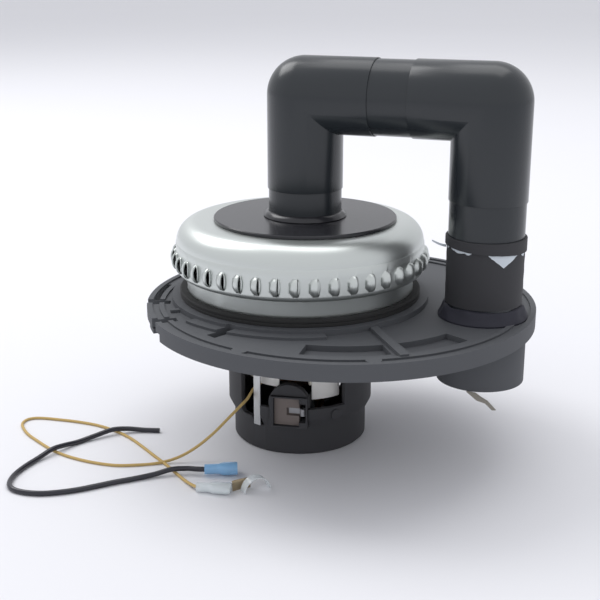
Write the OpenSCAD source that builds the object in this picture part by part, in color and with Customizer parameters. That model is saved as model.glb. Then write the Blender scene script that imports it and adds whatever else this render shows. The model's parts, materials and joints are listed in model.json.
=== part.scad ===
// Suction turbine: a brushed motor with a single fan wheel under a louvred metal shell, held
// through a round moulded plate, with a U of square-cornered pipe from the fan inlet to a port.
// Origin: on the motor axis at the foot of the lower cap. +Z up, +X towards the port.

/* [Motor body] */
// Outer radius of the lower cap
cap_r = 37.8; // [36:0.1:38.5]
// Height of the lower cap's straight wall
cap_h = 16; // [14:0.5:17]
// Outer radius of the motor body above the cap
body_r = 41; // [40.5:0.1:43]
// Height of the cone between cap and body
cone_h = 6.4; // [5:0.2:7]
// Wall thickness of the moulded housing
wall = 2.6; // [2:0.1:3]
// Height of the foot ring under the floor
foot_h = 2; // [1.5:0.1:2.5]
// Angle of the brush axis about the motor axis
brush_angle = -81; // [-90:1:-72]
// Angle that each side window spans
window_span = 90; // [80:1:94]

/* [Mounting plate] */
// Height of the plate's lower edge above the foot
plate_z = 73; // [71:0.5:80]
// Distance from the motor axis to the plate's centre
plate_x = 24; // [20:0.5:28]
// Outer radius of the plate
plate_r = 107.3; // [104:0.1:112]
// Height of the plate's skirt
skirt_h = 9; // [8:0.5:9.5]
// Thickness of the plate's skirt and ring walls
skirt_t = 3; // [2:0.1:4]
// Width of the raised ring's shelf outside the rubber ring
platform_w = 4.7; // [3.5:0.1:6]
// Distance from the plate's rim to the port's axis
port_inset = 27.3; // [25.5:0.1:29]
// Width of the groove inside the rim
groove_w = 3.8; // [3:0.1:5]
// Thickness of the groove's inner wall
groove_wall = 2.7; // [2:0.1:3]
// Width of the arc-shaped pockets
pocket_w = 14.5; // [10:0.5:16]
// Depth of the arc-shaped pockets
pocket_d = 3; // [2:0.1:3.4]

/* [Rubber ring] */
// Width of the rubber ring outside the shell's neck
ring_w = 4.1; // [3:0.1:5]
// Height of the rubber ring
ring_h = 4; // [3:0.5:6]

/* [Fan shell] */

// Height of the shell's neck between the rubber ring and its wall
neck_h = 9.5; // [8:0.5:12]
// Step in from the shell's wall to its neck
neck_step = 5.8; // [4.5:0.1:7]
// Outer radius of the fan shell's wall
shell_r = 69; // [67.5:0.1:72]
// Height of the fan shell
shell_h = 28.5; // [28:0.5:34]
// Thickness of the shell's sheet metal
sheet = 1; // [0.8:0.1:1.2]
// Number of louvres round the shell
louvres = 43; // [24:1:44]
// Height of each louvre
louvre_h = 9.8; // [8:0.1:11]
// How far each louvre stands out from the wall
louvre_out = 3.1; // [2:0.1:4]
// Radius of the glued inlet disc
disc_r = 50.5; // [40:0.5:53]
// Thickness of the inlet disc
disc_t = 2; // [1:0.1:3]

/* [Fan wheel] */
// Clearance between the fan wheel's rim and the shell
fan_gap = 7; // [5:0.5:15]
// Height of the fan blades
blade_h = 10.5; // [8:0.5:10.5]
// Number of fan blades
blades = 8; // [5:1:9]
// Radius of the fan wheel's eye
eye_r = 22.2; // [21.5:0.1:24]

/* [Shaft and armature] */
// Radius of the motor shaft
shaft_r = 4; // [3.5:0.1:4.5]
// Radius of the armature core
armature_r = 22.5; // [20:0.5:23]
// Height of the armature and field stacks
stack_h = 30; // [24:1:30]
// Air gap between armature and field
air_gap = 0.8; // [0.5:0.1:1.2]
// Radius of the commutator
comm_r = 14; // [12:0.5:14.5]
// Height of the commutator's bars
comm_h = 18; // [17:0.5:18]
// Number of commutator bars
comm_bars = 24; // [16:2:32]
// Number of armature slots
slots = 12; // [8:1:16]
// Outer radius of the ball bearings
bearing_r = 11; // [10:0.5:12]
// Height of the ball bearings
bearing_h = 7; // [6:0.5:7]

/* [Brushes] */
// Width of the carbon brushes
brush_w = 14; // [12:0.1:14.4]
// Height of the carbon brushes
brush_h = 16; // [14:0.1:16.4]
// Outer end of the carbon brushes from the motor axis
brush_end_r = 38.6; // [36:0.1:39.6]
// How far a brush can be pushed out against its spring
brush_travel = 6; // [3:0.5:6]
// Height of the brush axis above the foot
brush_z = 26; // [25.5:0.1:27]

/* [Pipe] */
// Outer radius of the pipe
pipe_r = 20; // [19:0.1:20.5]
// Wall thickness of the pipe
pipe_wall = 2.4; // [1.6:0.1:3]
// Outer radius of the elbows
elbow_r = 20.6; // [20.3:0.1:21.5]
// Height of the cross pipe's axis above the foot
cross_z = 194; // [185:1:230]
// Distance from the motor axis to the inlet leg
inlet_x = 3; // [0:0.5:3]
// Length of each elbow arm from its corner
elbow_arm = 40; // [36:1:44]
// Length of an elbow's downward arm from its corner
elbow_drop = 50.5; // [44:0.5:52]
// Depth of the sockets in the elbows
socket_depth = 20; // [12:1:20]
// Outer radius of the port socket under the plate
port_r = 23.5; // [22.5:0.1:24.5]
// Length of the port socket under the plate
port_h = 27.5; // [20:0.5:30]

/* [Tape, film and mastic] */
// Thickness of the wound tape
tape_t = 0.45; // [0.3:0.05:0.8]
// Height of the taped stretch
tape_h = 36; // [20:1:40]
// Height of the tape's lower edge above the deck
tape_gap = 8; // [7.5:0.5:12]
// Thickness of the torn film
film_t = 0.3; // [0.2:0.05:0.5]
// Height of the whole band of torn film
film_h = 3; // [2:0.5:5]
// Width of the mastic's foot
mastic_w = 4; // [3:0.1:4.5]
// Height of the mastic against the pipe
mastic_h = 7.4; // [5:0.1:7.5]
// Thickness of the torn seal strip
strip_seal_t = 0.8; // [0.5:0.1:1.2]

/* [Fits] */
// Glued clearance round the pipe
glue_gap = 0.05; // [0.03:0.01:0.1]
// Clearance between parts that move past each other
run_gap = 0.3; // [0.25:0.01:0.4]
// Clearance between fixed parts set beside each other
seat_gap = 0.1; // [0.05:0.01:0.15]

/* [Hidden] */

$fn = 48;
eps = 0.01;

// Levels of the motor
floor_t = 3;
floor_top = foot_h + floor_t;
cap_inner_r = cap_r - wall;
body_inner_r = body_r - wall;
body_z = cap_h + cone_h;
housing_top = plate_z + 11;
core_top = housing_top - 7;
core_z = core_top - stack_h;
core_r = body_inner_r - seat_gap;
field_r = armature_r + air_gap;
window_z = body_z + 5.6;
comm_z = brush_z - comm_h / 2 - 1;
pole_angle = brush_angle + 90;
coil_in = field_r + 3.2;
coil_out = core_r - 5.5;
boss_wall = 3.5;
insulation_t = 0.9;
end_turn_h = 8.2;
end_turn_z = core_z - end_turn_h - 0.3;

// Earth strip: hangs from the field stack, down into a slot in the cap
strip_angle = brush_angle - 26.6;
strip_w = 4.6;
strip_t = 0.8;
strip_r = core_r + seat_gap;
strip_z = brush_z - 10.8;

// Levels above the plate
platform_top = housing_top;
deck_z = plate_z + 4;
deck_t = 4;
deck_top = deck_z + deck_t;
skirt_top = plate_z + skirt_h;
port_x = plate_x + plate_r - port_inset;
groove_r = plate_r - skirt_t - groove_w;
pocket_r = groove_r - groove_wall - 5;
pocket_in = pocket_r - pocket_w;
rib_w = 2.4;
rib_h = 4;
neck_r = shell_r - neck_step;
ring_r = neck_r + ring_w;
platform_r = ring_r + platform_w;
neck_z = platform_top + 1.5;
ring_in = neck_r - sheet - 1;
shell_z = platform_top + ring_h + neck_h;
shell_top = shell_z + shell_h;
bracket_z = shell_z + sheet;
bracket_t = 2.5;
bracket_top = bracket_z + bracket_t;
upper_seat_z = shell_z - 10;
louvre_z = shell_z + 8;
crease_z = shell_z + 16.5;
louvre_gap = 1.5;
shoulder_r = 11.5;
roll_r = 3;
bead_in = 0.4;

// Levels of the fan wheel
plate_t = 1;
fan_r = shell_r - sheet - fan_gap;
fan_z = bracket_top + 3;
blade_z = fan_z + plate_t;
fan_front_z = blade_z + blade_h;
lip_h = 4;
collar_r = eye_r - 1.2;
nut_z = blade_z + 1.5;
nut_h = 6.5;
shaft_top = nut_z + nut_h + 2;

// Brush holder
brush_cavity = 0.2;
holder_side = 2.4;
spring_side = 4.8;
pocket_wall = 0.9;
holder_h = brush_h + 2;
holder_in_r = comm_r + 2;
holder_out_r = body_r - 0.4;
hood_in_r = coil_out + 1.6;
hood_r = (brush_w + holder_side + spring_side) / 2 + 0.9;
hood_z = brush_z + 4;
spring_t = 0.5;
arm_r = brush_end_r - 2.5;
pocket_in_r = brush_end_r - brush_travel - 3.5;

// Pipe
disc_top = shell_top + disc_t;
bore_r = pipe_r - pipe_wall;
socket_r = pipe_r + glue_gap;
socket_z = cross_z - elbow_drop;
pipe_in_socket_z = socket_z + socket_depth;
port_bottom = plate_z - port_h;
mouth_r = pipe_r + 0.2;
mouth_l = 14.5;
port_leg_z = port_bottom + mouth_l + 2;
mastic_r = pipe_r + mastic_w;
tape_r = pipe_r + glue_gap + tape_t;
tape_z = deck_top + tape_gap;
film_r = tape_r + glue_gap;
film_z = tape_z + tape_h - film_h * 2;
lap_r = film_r + film_t + glue_gap + tape_t;

// Leads: the routes' points are places chosen by hand
gold_d = 1.6;
black_d = 2.8;
gold_route = [
    [-12.4, -29, 37.2], [-15.4, -33.2, 34.6], [-16.6, -38.8, 31], [-18.5, -43.5, 28.5],
    [-24, -49.5, 22], [-31, -55.5, 14], [-39, -61.5, 7],
    [-47, -67.5, 2.6], [-56, -74, 0.8], [-66, -80, 0.8], [-76, -84, 0.8], [-88, -85, 0.8],
    [-100, -84, 0.8], [-111, -81.5, 0.8], [-122, -77, 0.8], [-133, -71, 0.8], [-143, -65, 0.8],
    [-150, -59, 0.8], [-155, -53, 0.8], [-156, -47, 0.8], [-153, -43, 0.8], [-147, -41, 0.8],
    [-139, -40, 0.8], [-127, -39, 0.8], [-113, -39.5, 0.8], [-99, -43, 0.8], [-86, -49, 0.8],
    [-74, -57, 0.8], [-63, -65, 0.8], [-51, -73.5, 0.8], [-42, -80.5, 0.8], [-34, -87, 1],
    [-27, -92.5, 1.8], [-22, -95.8, 2.6]
];
black_route = [
    [-26, -77.3, 3.6], [-30, -78, 3.4], [-36, -79, 3.2], [-43, -82.5, 3.1], [-50, -88.5, 1.8],
    [-58, -96, 1.4], [-66, -103.5, 1.4], [-73, -111, 1.4], [-80, -118, 1.4], [-88, -124, 1.4],
    [-96, -128, 1.4], [-105, -129.5, 1.4], [-112, -128, 1.4], [-117, -123, 1.4],
    [-120, -114, 1.4], [-120.5, -103, 1.4], [-119, -92, 1.8], [-116.5, -82, 3.1],
    [-114, -74, 2.4], [-110, -65, 1.4], [-104, -55, 2.2], [-98, -46.5, 3.1], [-91, -41, 2.4],
    [-83, -37.5, 1.4], [-74, -35, 1.4]
];

// ---------- helpers ----------

// Points of an arc in a profile, from angle a0 to a1
function arc(c, r, a0, a1, n = 6) =
    [for (i = [0:n]) let (a = a0 + (a1 - a0) * i / n) [c[0] + r * cos(a), c[1] + r * sin(a)]];

// Ring of rectangular section
module ring(r_in, r_out, z, h) {
    translate([0, 0, z])
        difference() {
            cylinder(r = r_out, h = h);
            translate([0, 0, -1]) cylinder(r = r_in, h = h + 2);
        }
}

// Sector of a ring, centred on angle a and spanning s degrees
module sector(r_in, r_out, z, h, a, s) {
    translate([0, 0, z])
        rotate([0, 0, a - s / 2])
            rotate_extrude(angle = s)
                translate([r_in, 0]) square([r_out - r_in, h]);
}

// Box standing on height z, centred on y, from x0 to x1
module bar(x0, x1, w, z, h) {
    translate([x0, -w / 2, z]) cube([x1 - x0, w, h]);
}

// Repeats its children at the front brush and half a turn round at the rear brush
module both_sides() {
    for (a = [0, 180]) rotate([0, 0, brush_angle + a]) children();
}

// Unit vector along v
function unit(v) = v / norm(v);

// Direction of a route at point i
function heading(p, i) =
    unit(p[min(i + 1, len(p) - 1)] - p[max(i - 1, 0)]);

// Ring of n points of radius r round point i of a route
function cord_ring(p, i, r, n) =
    let (t = heading(p, i), u = unit(cross(t, [0, 0, 1])), v = cross(u, t))
    [for (k = [0:n - 1]) let (a = 360 * (k + 0.5) / n) p[i] + r * (cos(a) * u + sin(a) * v)];

// Tube swept along a route, one closed solid
module cord(p, d, n = 8) {
    m = len(p);
    polyhedron(
        points = [for (i = [0:m - 1]) each cord_ring(p, i, d / 2, n)],
        faces = concat(
            [[for (k = [0:n - 1]) k]],
            [for (i = [0:m - 2], k = [0:n - 1])
                [i * n + k, (i + 1) * n + k, (i + 1) * n + (k + 1) % n, i * n + (k + 1) % n]],
            [[for (k = [n - 1:-1:0]) (m - 1) * n + k]]
        )
    );
}

// ---------- motor body ----------

module motor_housing() color("#1c1d1f") {
    difference() {
        union() {
            rotate_extrude()
                polygon([
                    [0, 0], [bearing_r - 1, 0], [bearing_r + 1, foot_h], [cap_r - 4, foot_h],
                    [cap_r - 4, 0], [cap_r - 1.2, 0],
                    [cap_r, 1.2], [cap_r, cap_h], [body_r, body_z], [body_r, housing_top],
                    [body_inner_r, housing_top], [body_inner_r, body_z + 0.5],
                    [cap_inner_r, cap_h + 0.5], [cap_inner_r, floor_top],
                    [bearing_r + boss_wall, floor_top],
                    [bearing_r + boss_wall, floor_top + bearing_h],
                    [bearing_r, floor_top + bearing_h], [bearing_r, floor_top], [0, floor_top]
                ]);
            // ribs from the bearing boss to the wall
            for (i = [0:5])
                rotate([0, 0, brush_angle + 30 + 60 * i])
                    bar(bearing_r + 1, cap_inner_r + 1, 2.4, floor_top - eps, 5);
            // round bosses beside the windows
            both_sides()
                rotate([0, 0, 39.5])
                    translate([body_r - 1.4, 0, brush_z - 2.4])
                        rotate([0, 90, 0]) cylinder(r = 3, h = 2.2);
        }
        // side windows and the strip's slot and the brush holder's notch
        both_sides() {
            sector(cap_inner_r - 3, body_r + 5, window_z, plate_z - window_z, 3, window_span);
            sector(cap_inner_r - 2, body_r + 4, window_z - 8, 9, -36.3, 11);
            rotate([0, 0, strip_angle - brush_angle])
                bar(cap_inner_r - 2, body_r + 2, strip_w + 2.4, strip_z, window_z - strip_z + 1);
            translate([0, -brush_w / 2 - holder_side - 0.3, brush_z - holder_h / 2 - 0.2])
                cube([body_r + 5, brush_w + holder_side + spring_side + 0.6, 20]);
        }
        // air slots in the floor
        for (i = [0:5])
            sector(bearing_r + 7, cap_r - 8, 1, floor_t + 3, brush_angle + 60 * i, 34);
    }
}

module field_core() color("#8b8c8c") {
    difference() {
        ring(field_r, core_r, core_z, stack_h);
        // winding spaces beside each pole
        for (a = [0, 180], s = [-1, 1])
            sector(field_r + 3, coil_out + 0.3, core_z - 1, stack_h + 2,
                pole_angle + a + s * 42, 36);
        // gaps between the pole tips
        both_sides()
            sector(field_r - 1, coil_out + 0.3, core_z - 1, stack_h + 2, 0, 52);
    }
}

module field_coils() color("#c9c4b4") {
    for (a = [0, 180]) rotate([0, 0, pole_angle + a]) {
        for (s = [-1, 1])
            sector(coil_in + 0.2, coil_out, core_z - 1, stack_h + 2, s * 42, 34);
        for (end = [0, 1])
            rotate([0, 0, -70])
                rotate_extrude(angle = 140)
                    translate([coil_in + 0.2, end ? core_top + 0.3 : end_turn_z])
                        end_turn(coil_out - coil_in - 0.2, end ? 5.5 : end_turn_h);
    }
}

// Rounded section of a coil's end turn
module end_turn(w, h) {
    c = 1.6;
    polygon(concat(
        arc([c, c], c, 180, 270, 3), arc([w - c, c], c, 270, 360, 3),
        arc([w - c, h - c], c, 0, 90, 3), arc([c, h - c], c, 90, 180, 3)
    ));
}

module coil_insulation() color("#d9d8d2") {
    both_sides() {
        for (a = [[-22, 26, end_turn_z - 0.5], [36.5, 29, window_z + 3]])
            sector(coil_out + seat_gap, coil_out + seat_gap + insulation_t, a[2],
                core_z - seat_gap - a[2], a[0], a[1]);
    }
}

module field_screws() color("#9a9b9c") {
    for (a = [40, 220])
        rotate([0, 0, brush_angle + a])
            translate([coil_out + 3.4, 0, core_z - 2.6]) {
                cylinder(r = 2, h = 2.6 - eps);
            }
}

module brush_holders() color("#232425") {
    both_sides() difference() {
        union() {
            translate([holder_in_r, -brush_w / 2 - holder_side, brush_z - holder_h / 2])
                cube([holder_out_r - holder_in_r, brush_w + holder_side + spring_side, holder_h]);
            // round hood over the outer end
            translate([hood_in_r, (spring_side - holder_side) / 2, hood_z]) intersection() {
                rotate([0, 90, 0]) cylinder(r = hood_r, h = holder_out_r - hood_in_r - 2);
                translate([-1, -2 * hood_r, -1]) cube([20, 4 * hood_r, 2 * hood_r]);
            }
        }
        translate([0, -brush_w / 2 - brush_cavity, brush_z - brush_h / 2 - brush_cavity])
            cube([body_r + 5, brush_w + 2 * brush_cavity, brush_h + 2 * brush_cavity]);
        // pocket for the spring, open to the brush and to the outer end
        translate([pocket_in_r, 0, brush_z - 5.5])
            cube([body_r, brush_w / 2 + spring_side - pocket_wall, 11]);
    }
}

// Carbon brush: hollow-ground inner face, open groove along one side
module brush() color("#5a4f4b") {
    difference() {
        bar(comm_r - 2, brush_end_r, brush_w, brush_z - brush_h / 2, brush_h);
        translate([0, 0, brush_z - brush_h]) cylinder(r = comm_r + run_gap, h = 2 * brush_h);
        translate([arm_r, 0, brush_z - 2.2])
            cube([10, brush_w, 4.4]);
    }
}

module front_brush() rotate([0, 0, brush_angle]) brush();
module rear_brush() rotate([0, 0, brush_angle + 180]) brush();

// Coiled strip spring: its coil stands in the pocket and its arm lies on the brush's outer end
module brush_spring() color("#77787a") {
    coil_r = (spring_side - pocket_wall - brush_cavity - 2 * seat_gap) / 2;
    x = arm_r + coil_r;
    y = brush_w / 2 + brush_cavity + seat_gap + coil_r;
    translate([x, y, 0]) ring(coil_r - spring_t, coil_r, brush_z - 2, 4);
    translate([arm_r + 0.02, 1, brush_z - 1.6]) cube([spring_t, y - 1, 3.2]);
}

module front_brush_spring() rotate([0, 0, brush_angle]) brush_spring();
module rear_brush_spring() rotate([0, 0, brush_angle + 180]) brush_spring();

module earth_strip() color("#b9bbba") {
    rotate([0, 0, strip_angle])
        bar(strip_r, strip_r + strip_t, strip_w, strip_z + seat_gap, plate_z - strip_z - 1);
}

// ---------- bearings ----------

// Outer race with its shields
module race(z) color("#8d9092") {
    ring(bearing_r - 1.8, bearing_r - 0.02, z, bearing_h);
    for (s = [0, bearing_h - 0.6])
        ring(shaft_r + 2 + run_gap, bearing_r - 1.8 + eps, z + s, 0.6);
}

// Inner race, pressed on the shaft
module race_hub(z) color("#a5a8aa") ring(shaft_r, shaft_r + 2, z, bearing_h);

module lower_bearing_race() race(floor_top);
module upper_bearing_race() race(upper_seat_z);
module lower_bearing_hub() race_hub(floor_top);
module upper_bearing_hub() race_hub(upper_seat_z);

module fan_bracket() color("#a9acad")
    rotate_extrude()
        polygon([
            [bearing_r, upper_seat_z], [bearing_r + boss_wall, upper_seat_z],
            [bearing_r + boss_wall + 1.5, bracket_z - 2], [body_inner_r - 3, bracket_z - 2],
            [body_inner_r, bracket_z - 4], [body_inner_r, housing_top],
            [body_r, housing_top], [body_r, bracket_z],
            [shell_r - roll_r - seat_gap, bracket_z],
            [shell_r - sheet - seat_gap, bracket_z + roll_r - sheet],
            [shell_r - sheet - seat_gap, bracket_top],
            [shaft_r + 3.4, bracket_top], [shaft_r + 3.4, upper_seat_z + bearing_h],
            [bearing_r, upper_seat_z + bearing_h]
        ]);

// ---------- rotor ----------

module shaft() color("#b4b6b8") {
    translate([0, 0, floor_top + 0.3]) cylinder(r = shaft_r, h = shaft_top - floor_top - 1.1);
    translate([0, 0, shaft_top - 0.8]) cylinder(r1 = shaft_r, r2 = shaft_r - 0.8, h = 0.8);
}

module commutator() color("#a8683c") {
    difference() {
        union() {
            ring(comm_r - 4, comm_r, comm_z, comm_h);
            ring(comm_r - 4, comm_r + 1.8, comm_z + comm_h, 2.5);
        }
        for (i = [0:comm_bars - 1])
            rotate([0, 0, 360 / comm_bars * (i + 0.5)])
                bar(comm_r - 1.2, comm_r + 5, 0.5, comm_z - 1, comm_h + 5);
    }
}

module commutator_hub() color("#3b2a20")
    ring(shaft_r, comm_r - 4, comm_z - 1.5, comm_h + 5);

module armature_core() color("#7d7e80") {
    difference() {
        ring(shaft_r, armature_r, core_z, stack_h);
        for (i = [0:slots - 1])
            rotate([0, 0, 360 / slots * i]) {
                bar(armature_r - 2, armature_r + 2, 1.6, core_z - 1, stack_h + 2);
                translate([armature_r - 5.5, 0, core_z - 1])
                    cylinder(r = 2.9, h = stack_h + 2);
            }
    }
}

module armature_windings() color("#8e4a23") {
    for (i = [0:slots - 1])
        rotate([0, 0, 360 / slots * i])
            translate([armature_r - 5.5, 0, core_z - 0.5])
                cylinder(r = 2.8, h = stack_h + 1);
    for (top = [0, 1])
        translate([0, 0, top ? core_top + seat_gap : core_z - seat_gap])
            mirror([0, 0, 1 - top])
                rotate_extrude()
                    polygon(concat(
                        [[shaft_r + 1.5, 0], [armature_r - 2, 0]],
                        arc([armature_r - 5.5, 3], 3.4, 0, 90, 4),
                        [[shaft_r + 3, top ? 6.4 : 6.8], [shaft_r + 1.5, 5]]
                    ));
}

module fan_spacer() color("#8b8c8e")
    ring(shaft_r, shaft_r + 2.6, upper_seat_z + bearing_h, fan_z - upper_seat_z - bearing_h);

module fan_back_plate() color("#c3c7c8")
    ring(shaft_r, fan_r, fan_z, plate_t);

// Backward-curved blades: each is an arc of a circle that leaves the eye at a steep angle
module fan_blades() color("#b7bbbc") {
    curve_r = fan_r * 0.62;
    in_r = eye_r + 2;
    out_r = fan_r - 0.5;
    // centre of the arc that passes through the inner and outer blade tips
    lead = 38;
    p_in = [in_r, 0];
    p_out = [out_r * cos(lead), -out_r * sin(lead)];
    mid = (p_in + p_out) / 2;
    half = norm(p_out - p_in) / 2;
    off = sqrt(curve_r * curve_r - half * half);
    across = unit([(p_out - p_in)[1], -(p_out - p_in)[0]]);
    c = mid + off * across;
    a_in = atan2(p_in[1] - c[1], p_in[0] - c[0]);
    a_out = atan2(p_out[1] - c[1], p_out[0] - c[0]);
    span = abs(a_in - a_out);
    for (i = [0:blades - 1])
        rotate([0, 0, 360 / blades * i])
            translate([c[0], c[1], blade_z])
                rotate([0, 0, min(a_in, a_out)])
                    rotate_extrude(angle = span)
                        translate([curve_r - 0.5, 0]) square([1, blade_h]);
}

module fan_front_plate() color("#c3c7c8")
    rotate_extrude()
        polygon([
            [eye_r, fan_front_z + 0.8], [eye_r + 0.8, fan_front_z], [fan_r, fan_front_z],
            [fan_r, fan_front_z + plate_t], [eye_r + 2, fan_front_z + plate_t],
            [eye_r + 1, fan_front_z + plate_t + 0.8], [eye_r + 1, fan_front_z + lip_h],
            [eye_r, fan_front_z + lip_h]
        ]);

module fan_washer() color("#9fa2a4")
    ring(shaft_r, shaft_r + 6, blade_z, nut_z - blade_z);

module fan_nut() color("#8f9294")
    difference() {
        translate([0, 0, nut_z]) cylinder(r = 7.5, h = nut_h, $fn = 6);
        translate([0, 0, nut_z - 1]) cylinder(r = shaft_r, h = nut_h + 2);
    }

// ---------- plate, ring and shell ----------

module mounting_plate() color("#3f4244") {
    translate([plate_x, 0, 0]) difference() {
        union() {
            // deck, skirt and concentric ring walls
            ring(1, plate_r, deck_z, deck_t);
            difference() {
                ring(plate_r - skirt_t, plate_r, plate_z, skirt_h);
                for (a = [-146, 62])
                    sector(plate_r - skirt_t - 1, plate_r + 1, plate_z - 1, 6.5, a, 26);
            }
            ring(groove_r - groove_wall, groove_r, plate_z + 1, skirt_h - 1);
            ring(pocket_in - 3, pocket_in - 0.5, deck_z + 1 - rib_h, rib_h);
            // tabs in the skirt's gaps
            for (a = [-143.5, 64.5])
                sector(groove_r - groove_wall - 2, plate_r - 0.8, plate_z, 2.6, a, 6);
            for (a = [-143.5, 64.5])
                sector(groove_r - groove_wall - 2, groove_r - 2, plate_z, deck_z - plate_z + 1, a, 6);
            // radial ribs under the deck
            for (i = [0:11])
                rotate([0, 0, 30 * i + 8]) bar(pocket_in - 2, groove_r - 1, rib_w, deck_z + 1 - rib_h, rib_h);
            // raised rib between the pockets
            rotate([0, 0, -54]) bar(pocket_in - 26, groove_r - 1, 4.5, deck_z, deck_t + 2);
            rotate([0, 0, -146]) bar(pocket_in - 1, pocket_r + 2.5, 3, deck_z, deck_t + 1.5);
            // round bosses by the groove
            for (a = [-101, -63, 118])
                rotate([0, 0, a]) translate([groove_r + 0.8, 0, deck_z]) cylinder(r = 4, h = deck_t + 1);
            // raised ring around the motor
            translate([-plate_x, 0, 0]) {
                ring(ring_in - 3, platform_r, deck_z, platform_top - deck_z);
                sector(platform_r - 1, platform_r + 6, deck_z, deck_t + 1.4, -90, 60);
            }
        }
        // the motor's hole and the pipe's hole
        translate([-plate_x, 0, 0]) {
            translate([0, 0, plate_z - 1]) cylinder(r = body_r + seat_gap, h = skirt_h + 20);
            translate([port_x, 0, plate_z - 1]) cylinder(r = socket_r, h = skirt_h + 20);
            // seats for the socket below and the mastic above
            translate([port_x, 0, plate_z - 1]) cylinder(r = port_r + seat_gap, h = deck_z - plate_z + 1);
            translate([port_x, 0, deck_top]) cylinder(r = mastic_r + seat_gap, h = skirt_h);
        }
        // arc-shaped pockets in the deck
        for (a = [[-70.5, 28], [-39.5, 22], [-117, 4], [150, 40], [98, 34]])
            sector(pocket_in, pocket_r, deck_top - pocket_d, deck_t + pocket_d, a[0], a[1]);
        // gaps beside the tabs
        for (a = [-157, -138])
            sector(groove_r - 6, plate_r + 1, deck_z - 1, 2 * deck_t, a, 3.6);
        // slots through the rim
        for (a = [[-168, 18], [84, 14], [44, 12]])
            sector(groove_r + 0.3, groove_r + groove_w - 0.2, plate_z - 1, 2 * skirt_h, a[0], a[1]);
    }
}

module rubber_ring() color("#161616")
    difference() {
        ring(ring_in, ring_r, platform_top, ring_h);
        ring(ring_in - 1, neck_r + 0.02, neck_z - 0.02, ring_h + 1);
    }

// Outline of the shell's sheet: outer face upwards, inner face back down
function shell_outline(in) =
    let (r = shell_r, k = shoulder_r - in)
    concat(
        arc([r - roll_r, shell_z + roll_r], roll_r - in, 270, 360, 3),
        [[r - in, crease_z]],
        [[r - in - bead_in, crease_z + 0.6]],
        arc([r - bead_in - shoulder_r, shell_top - shoulder_r], k, 0, 90, 7)
    );

// Reverses a list
function back(v) = [for (i = [len(v) - 1:-1:0]) v[i]];

module fan_shell() color("#b9bfbb") {
    tilt = louvre_h * louvre_h / 8 / louvre_out + louvre_out / 2;
    difference() {
        union() {
            rotate_extrude()
                polygon(concat(
                    [[neck_r, neck_z], [neck_r, shell_z]],
                    shell_outline(0),
                    [[collar_r - sheet + 1, shell_top], [collar_r - sheet, shell_top - 1],
                        [collar_r - sheet, fan_front_z + lip_h - 0.5],
                        [collar_r, fan_front_z + lip_h - 0.5], [collar_r, shell_top - sheet]],
                    back(shell_outline(sheet)),
                    [[neck_r - sheet, bracket_z - eps], [neck_r - sheet, neck_z]]
                ));
            for (i = [0:louvres - 1])
                rotate([0, 0, 360 / louvres * (i + 0.5)])
                    intersection() {
                        translate([shell_r + louvre_out - tilt, 0.6, louvre_z]) sphere(r = tilt);
                        translate([shell_r - 0.6, -louvre_h, louvre_z - louvre_h])
                            cube([louvre_h, louvre_h, 2 * louvre_h]);
                    }
        }
        for (i = [0:louvres - 1])
            rotate([0, 0, 360 / louvres * (i + 0.5)]) {
                intersection() {
                    translate([shell_r + louvre_out - tilt, 0.6, louvre_z])
                        sphere(r = tilt - sheet * 0.9);
                    translate([shell_r - 3, -louvre_h, louvre_z - louvre_h])
                        cube([louvre_h, louvre_h + louvre_gap / 2, 2 * louvre_h]);
                }
                // gap beside the hood's rim
                intersection() {
                    translate([shell_r - 3, 0.2, louvre_z]) rotate([0, 90, 0])
                        cylinder(r = louvre_h / 2 - 0.6, h = 5);
                    translate([shell_r - 4, 0.1, louvre_z - louvre_h])
                        cube([louvre_h, louvre_gap, 2 * louvre_h]);
                }
            }
    }
}

module inlet_disc() color("#0c0d0f")
    difference() {
        translate([inlet_x, 0, shell_top]) cylinder(r = disc_r, h = disc_t);
        translate([inlet_x, 0, shell_top - 1]) cylinder(r = socket_r, h = disc_t + 2);
    }

module pipe_foot_bead() color("#111214")
    translate([inlet_x, 0, disc_top])
        rotate_extrude()
            polygon([[socket_r, 0], [pipe_r + 3, 0], [pipe_r + 2.4, 1.6], [pipe_r + 0.8, 3],
                [socket_r, 3.2]]);

// ---------- pipe ----------

module pipe_length(x, z0, z1) {
    translate([x, 0, 0]) ring(bore_r, pipe_r, z0, z1 - z0);
}

module inlet_leg() color("#131416") pipe_length(inlet_x, shell_top, pipe_in_socket_z);
module port_leg() color("#131416") pipe_length(port_x, port_leg_z, pipe_in_socket_z);

module cross_pipe() color("#131416")
    translate([inlet_x + elbow_arm - socket_depth, 0, cross_z])
        rotate([0, 90, 0])
            ring(bore_r, pipe_r, 0, port_x - inlet_x - 2 * (elbow_arm - socket_depth));

// Square-cornered elbow: its corner at the origin, one arm along +X and one down
module elbow() {
    difference() {
        union() {
            sphere(r = elbow_r);
            translate([0, 0, -elbow_drop]) cylinder(r = elbow_r, h = elbow_drop);
            rotate([0, 90, 0]) cylinder(r = elbow_r, h = elbow_arm);
        }
        sphere(r = bore_r);
        translate([0, 0, -elbow_drop - 1]) cylinder(r = bore_r, h = elbow_drop + 1);
        rotate([0, 90, 0]) cylinder(r = bore_r, h = elbow_arm + 1);
        translate([0, 0, -elbow_drop - 1]) cylinder(r = socket_r, h = socket_depth + 1);
        translate([elbow_arm - socket_depth, 0, 0])
            rotate([0, 90, 0]) cylinder(r = socket_r, h = socket_depth + 1);
    }
}

module inlet_elbow() color("#15161a") translate([inlet_x, 0, cross_z]) elbow();
module port_elbow() color("#15161a")
    translate([port_x, 0, cross_z]) mirror([1, 0, 0]) elbow();

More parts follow.
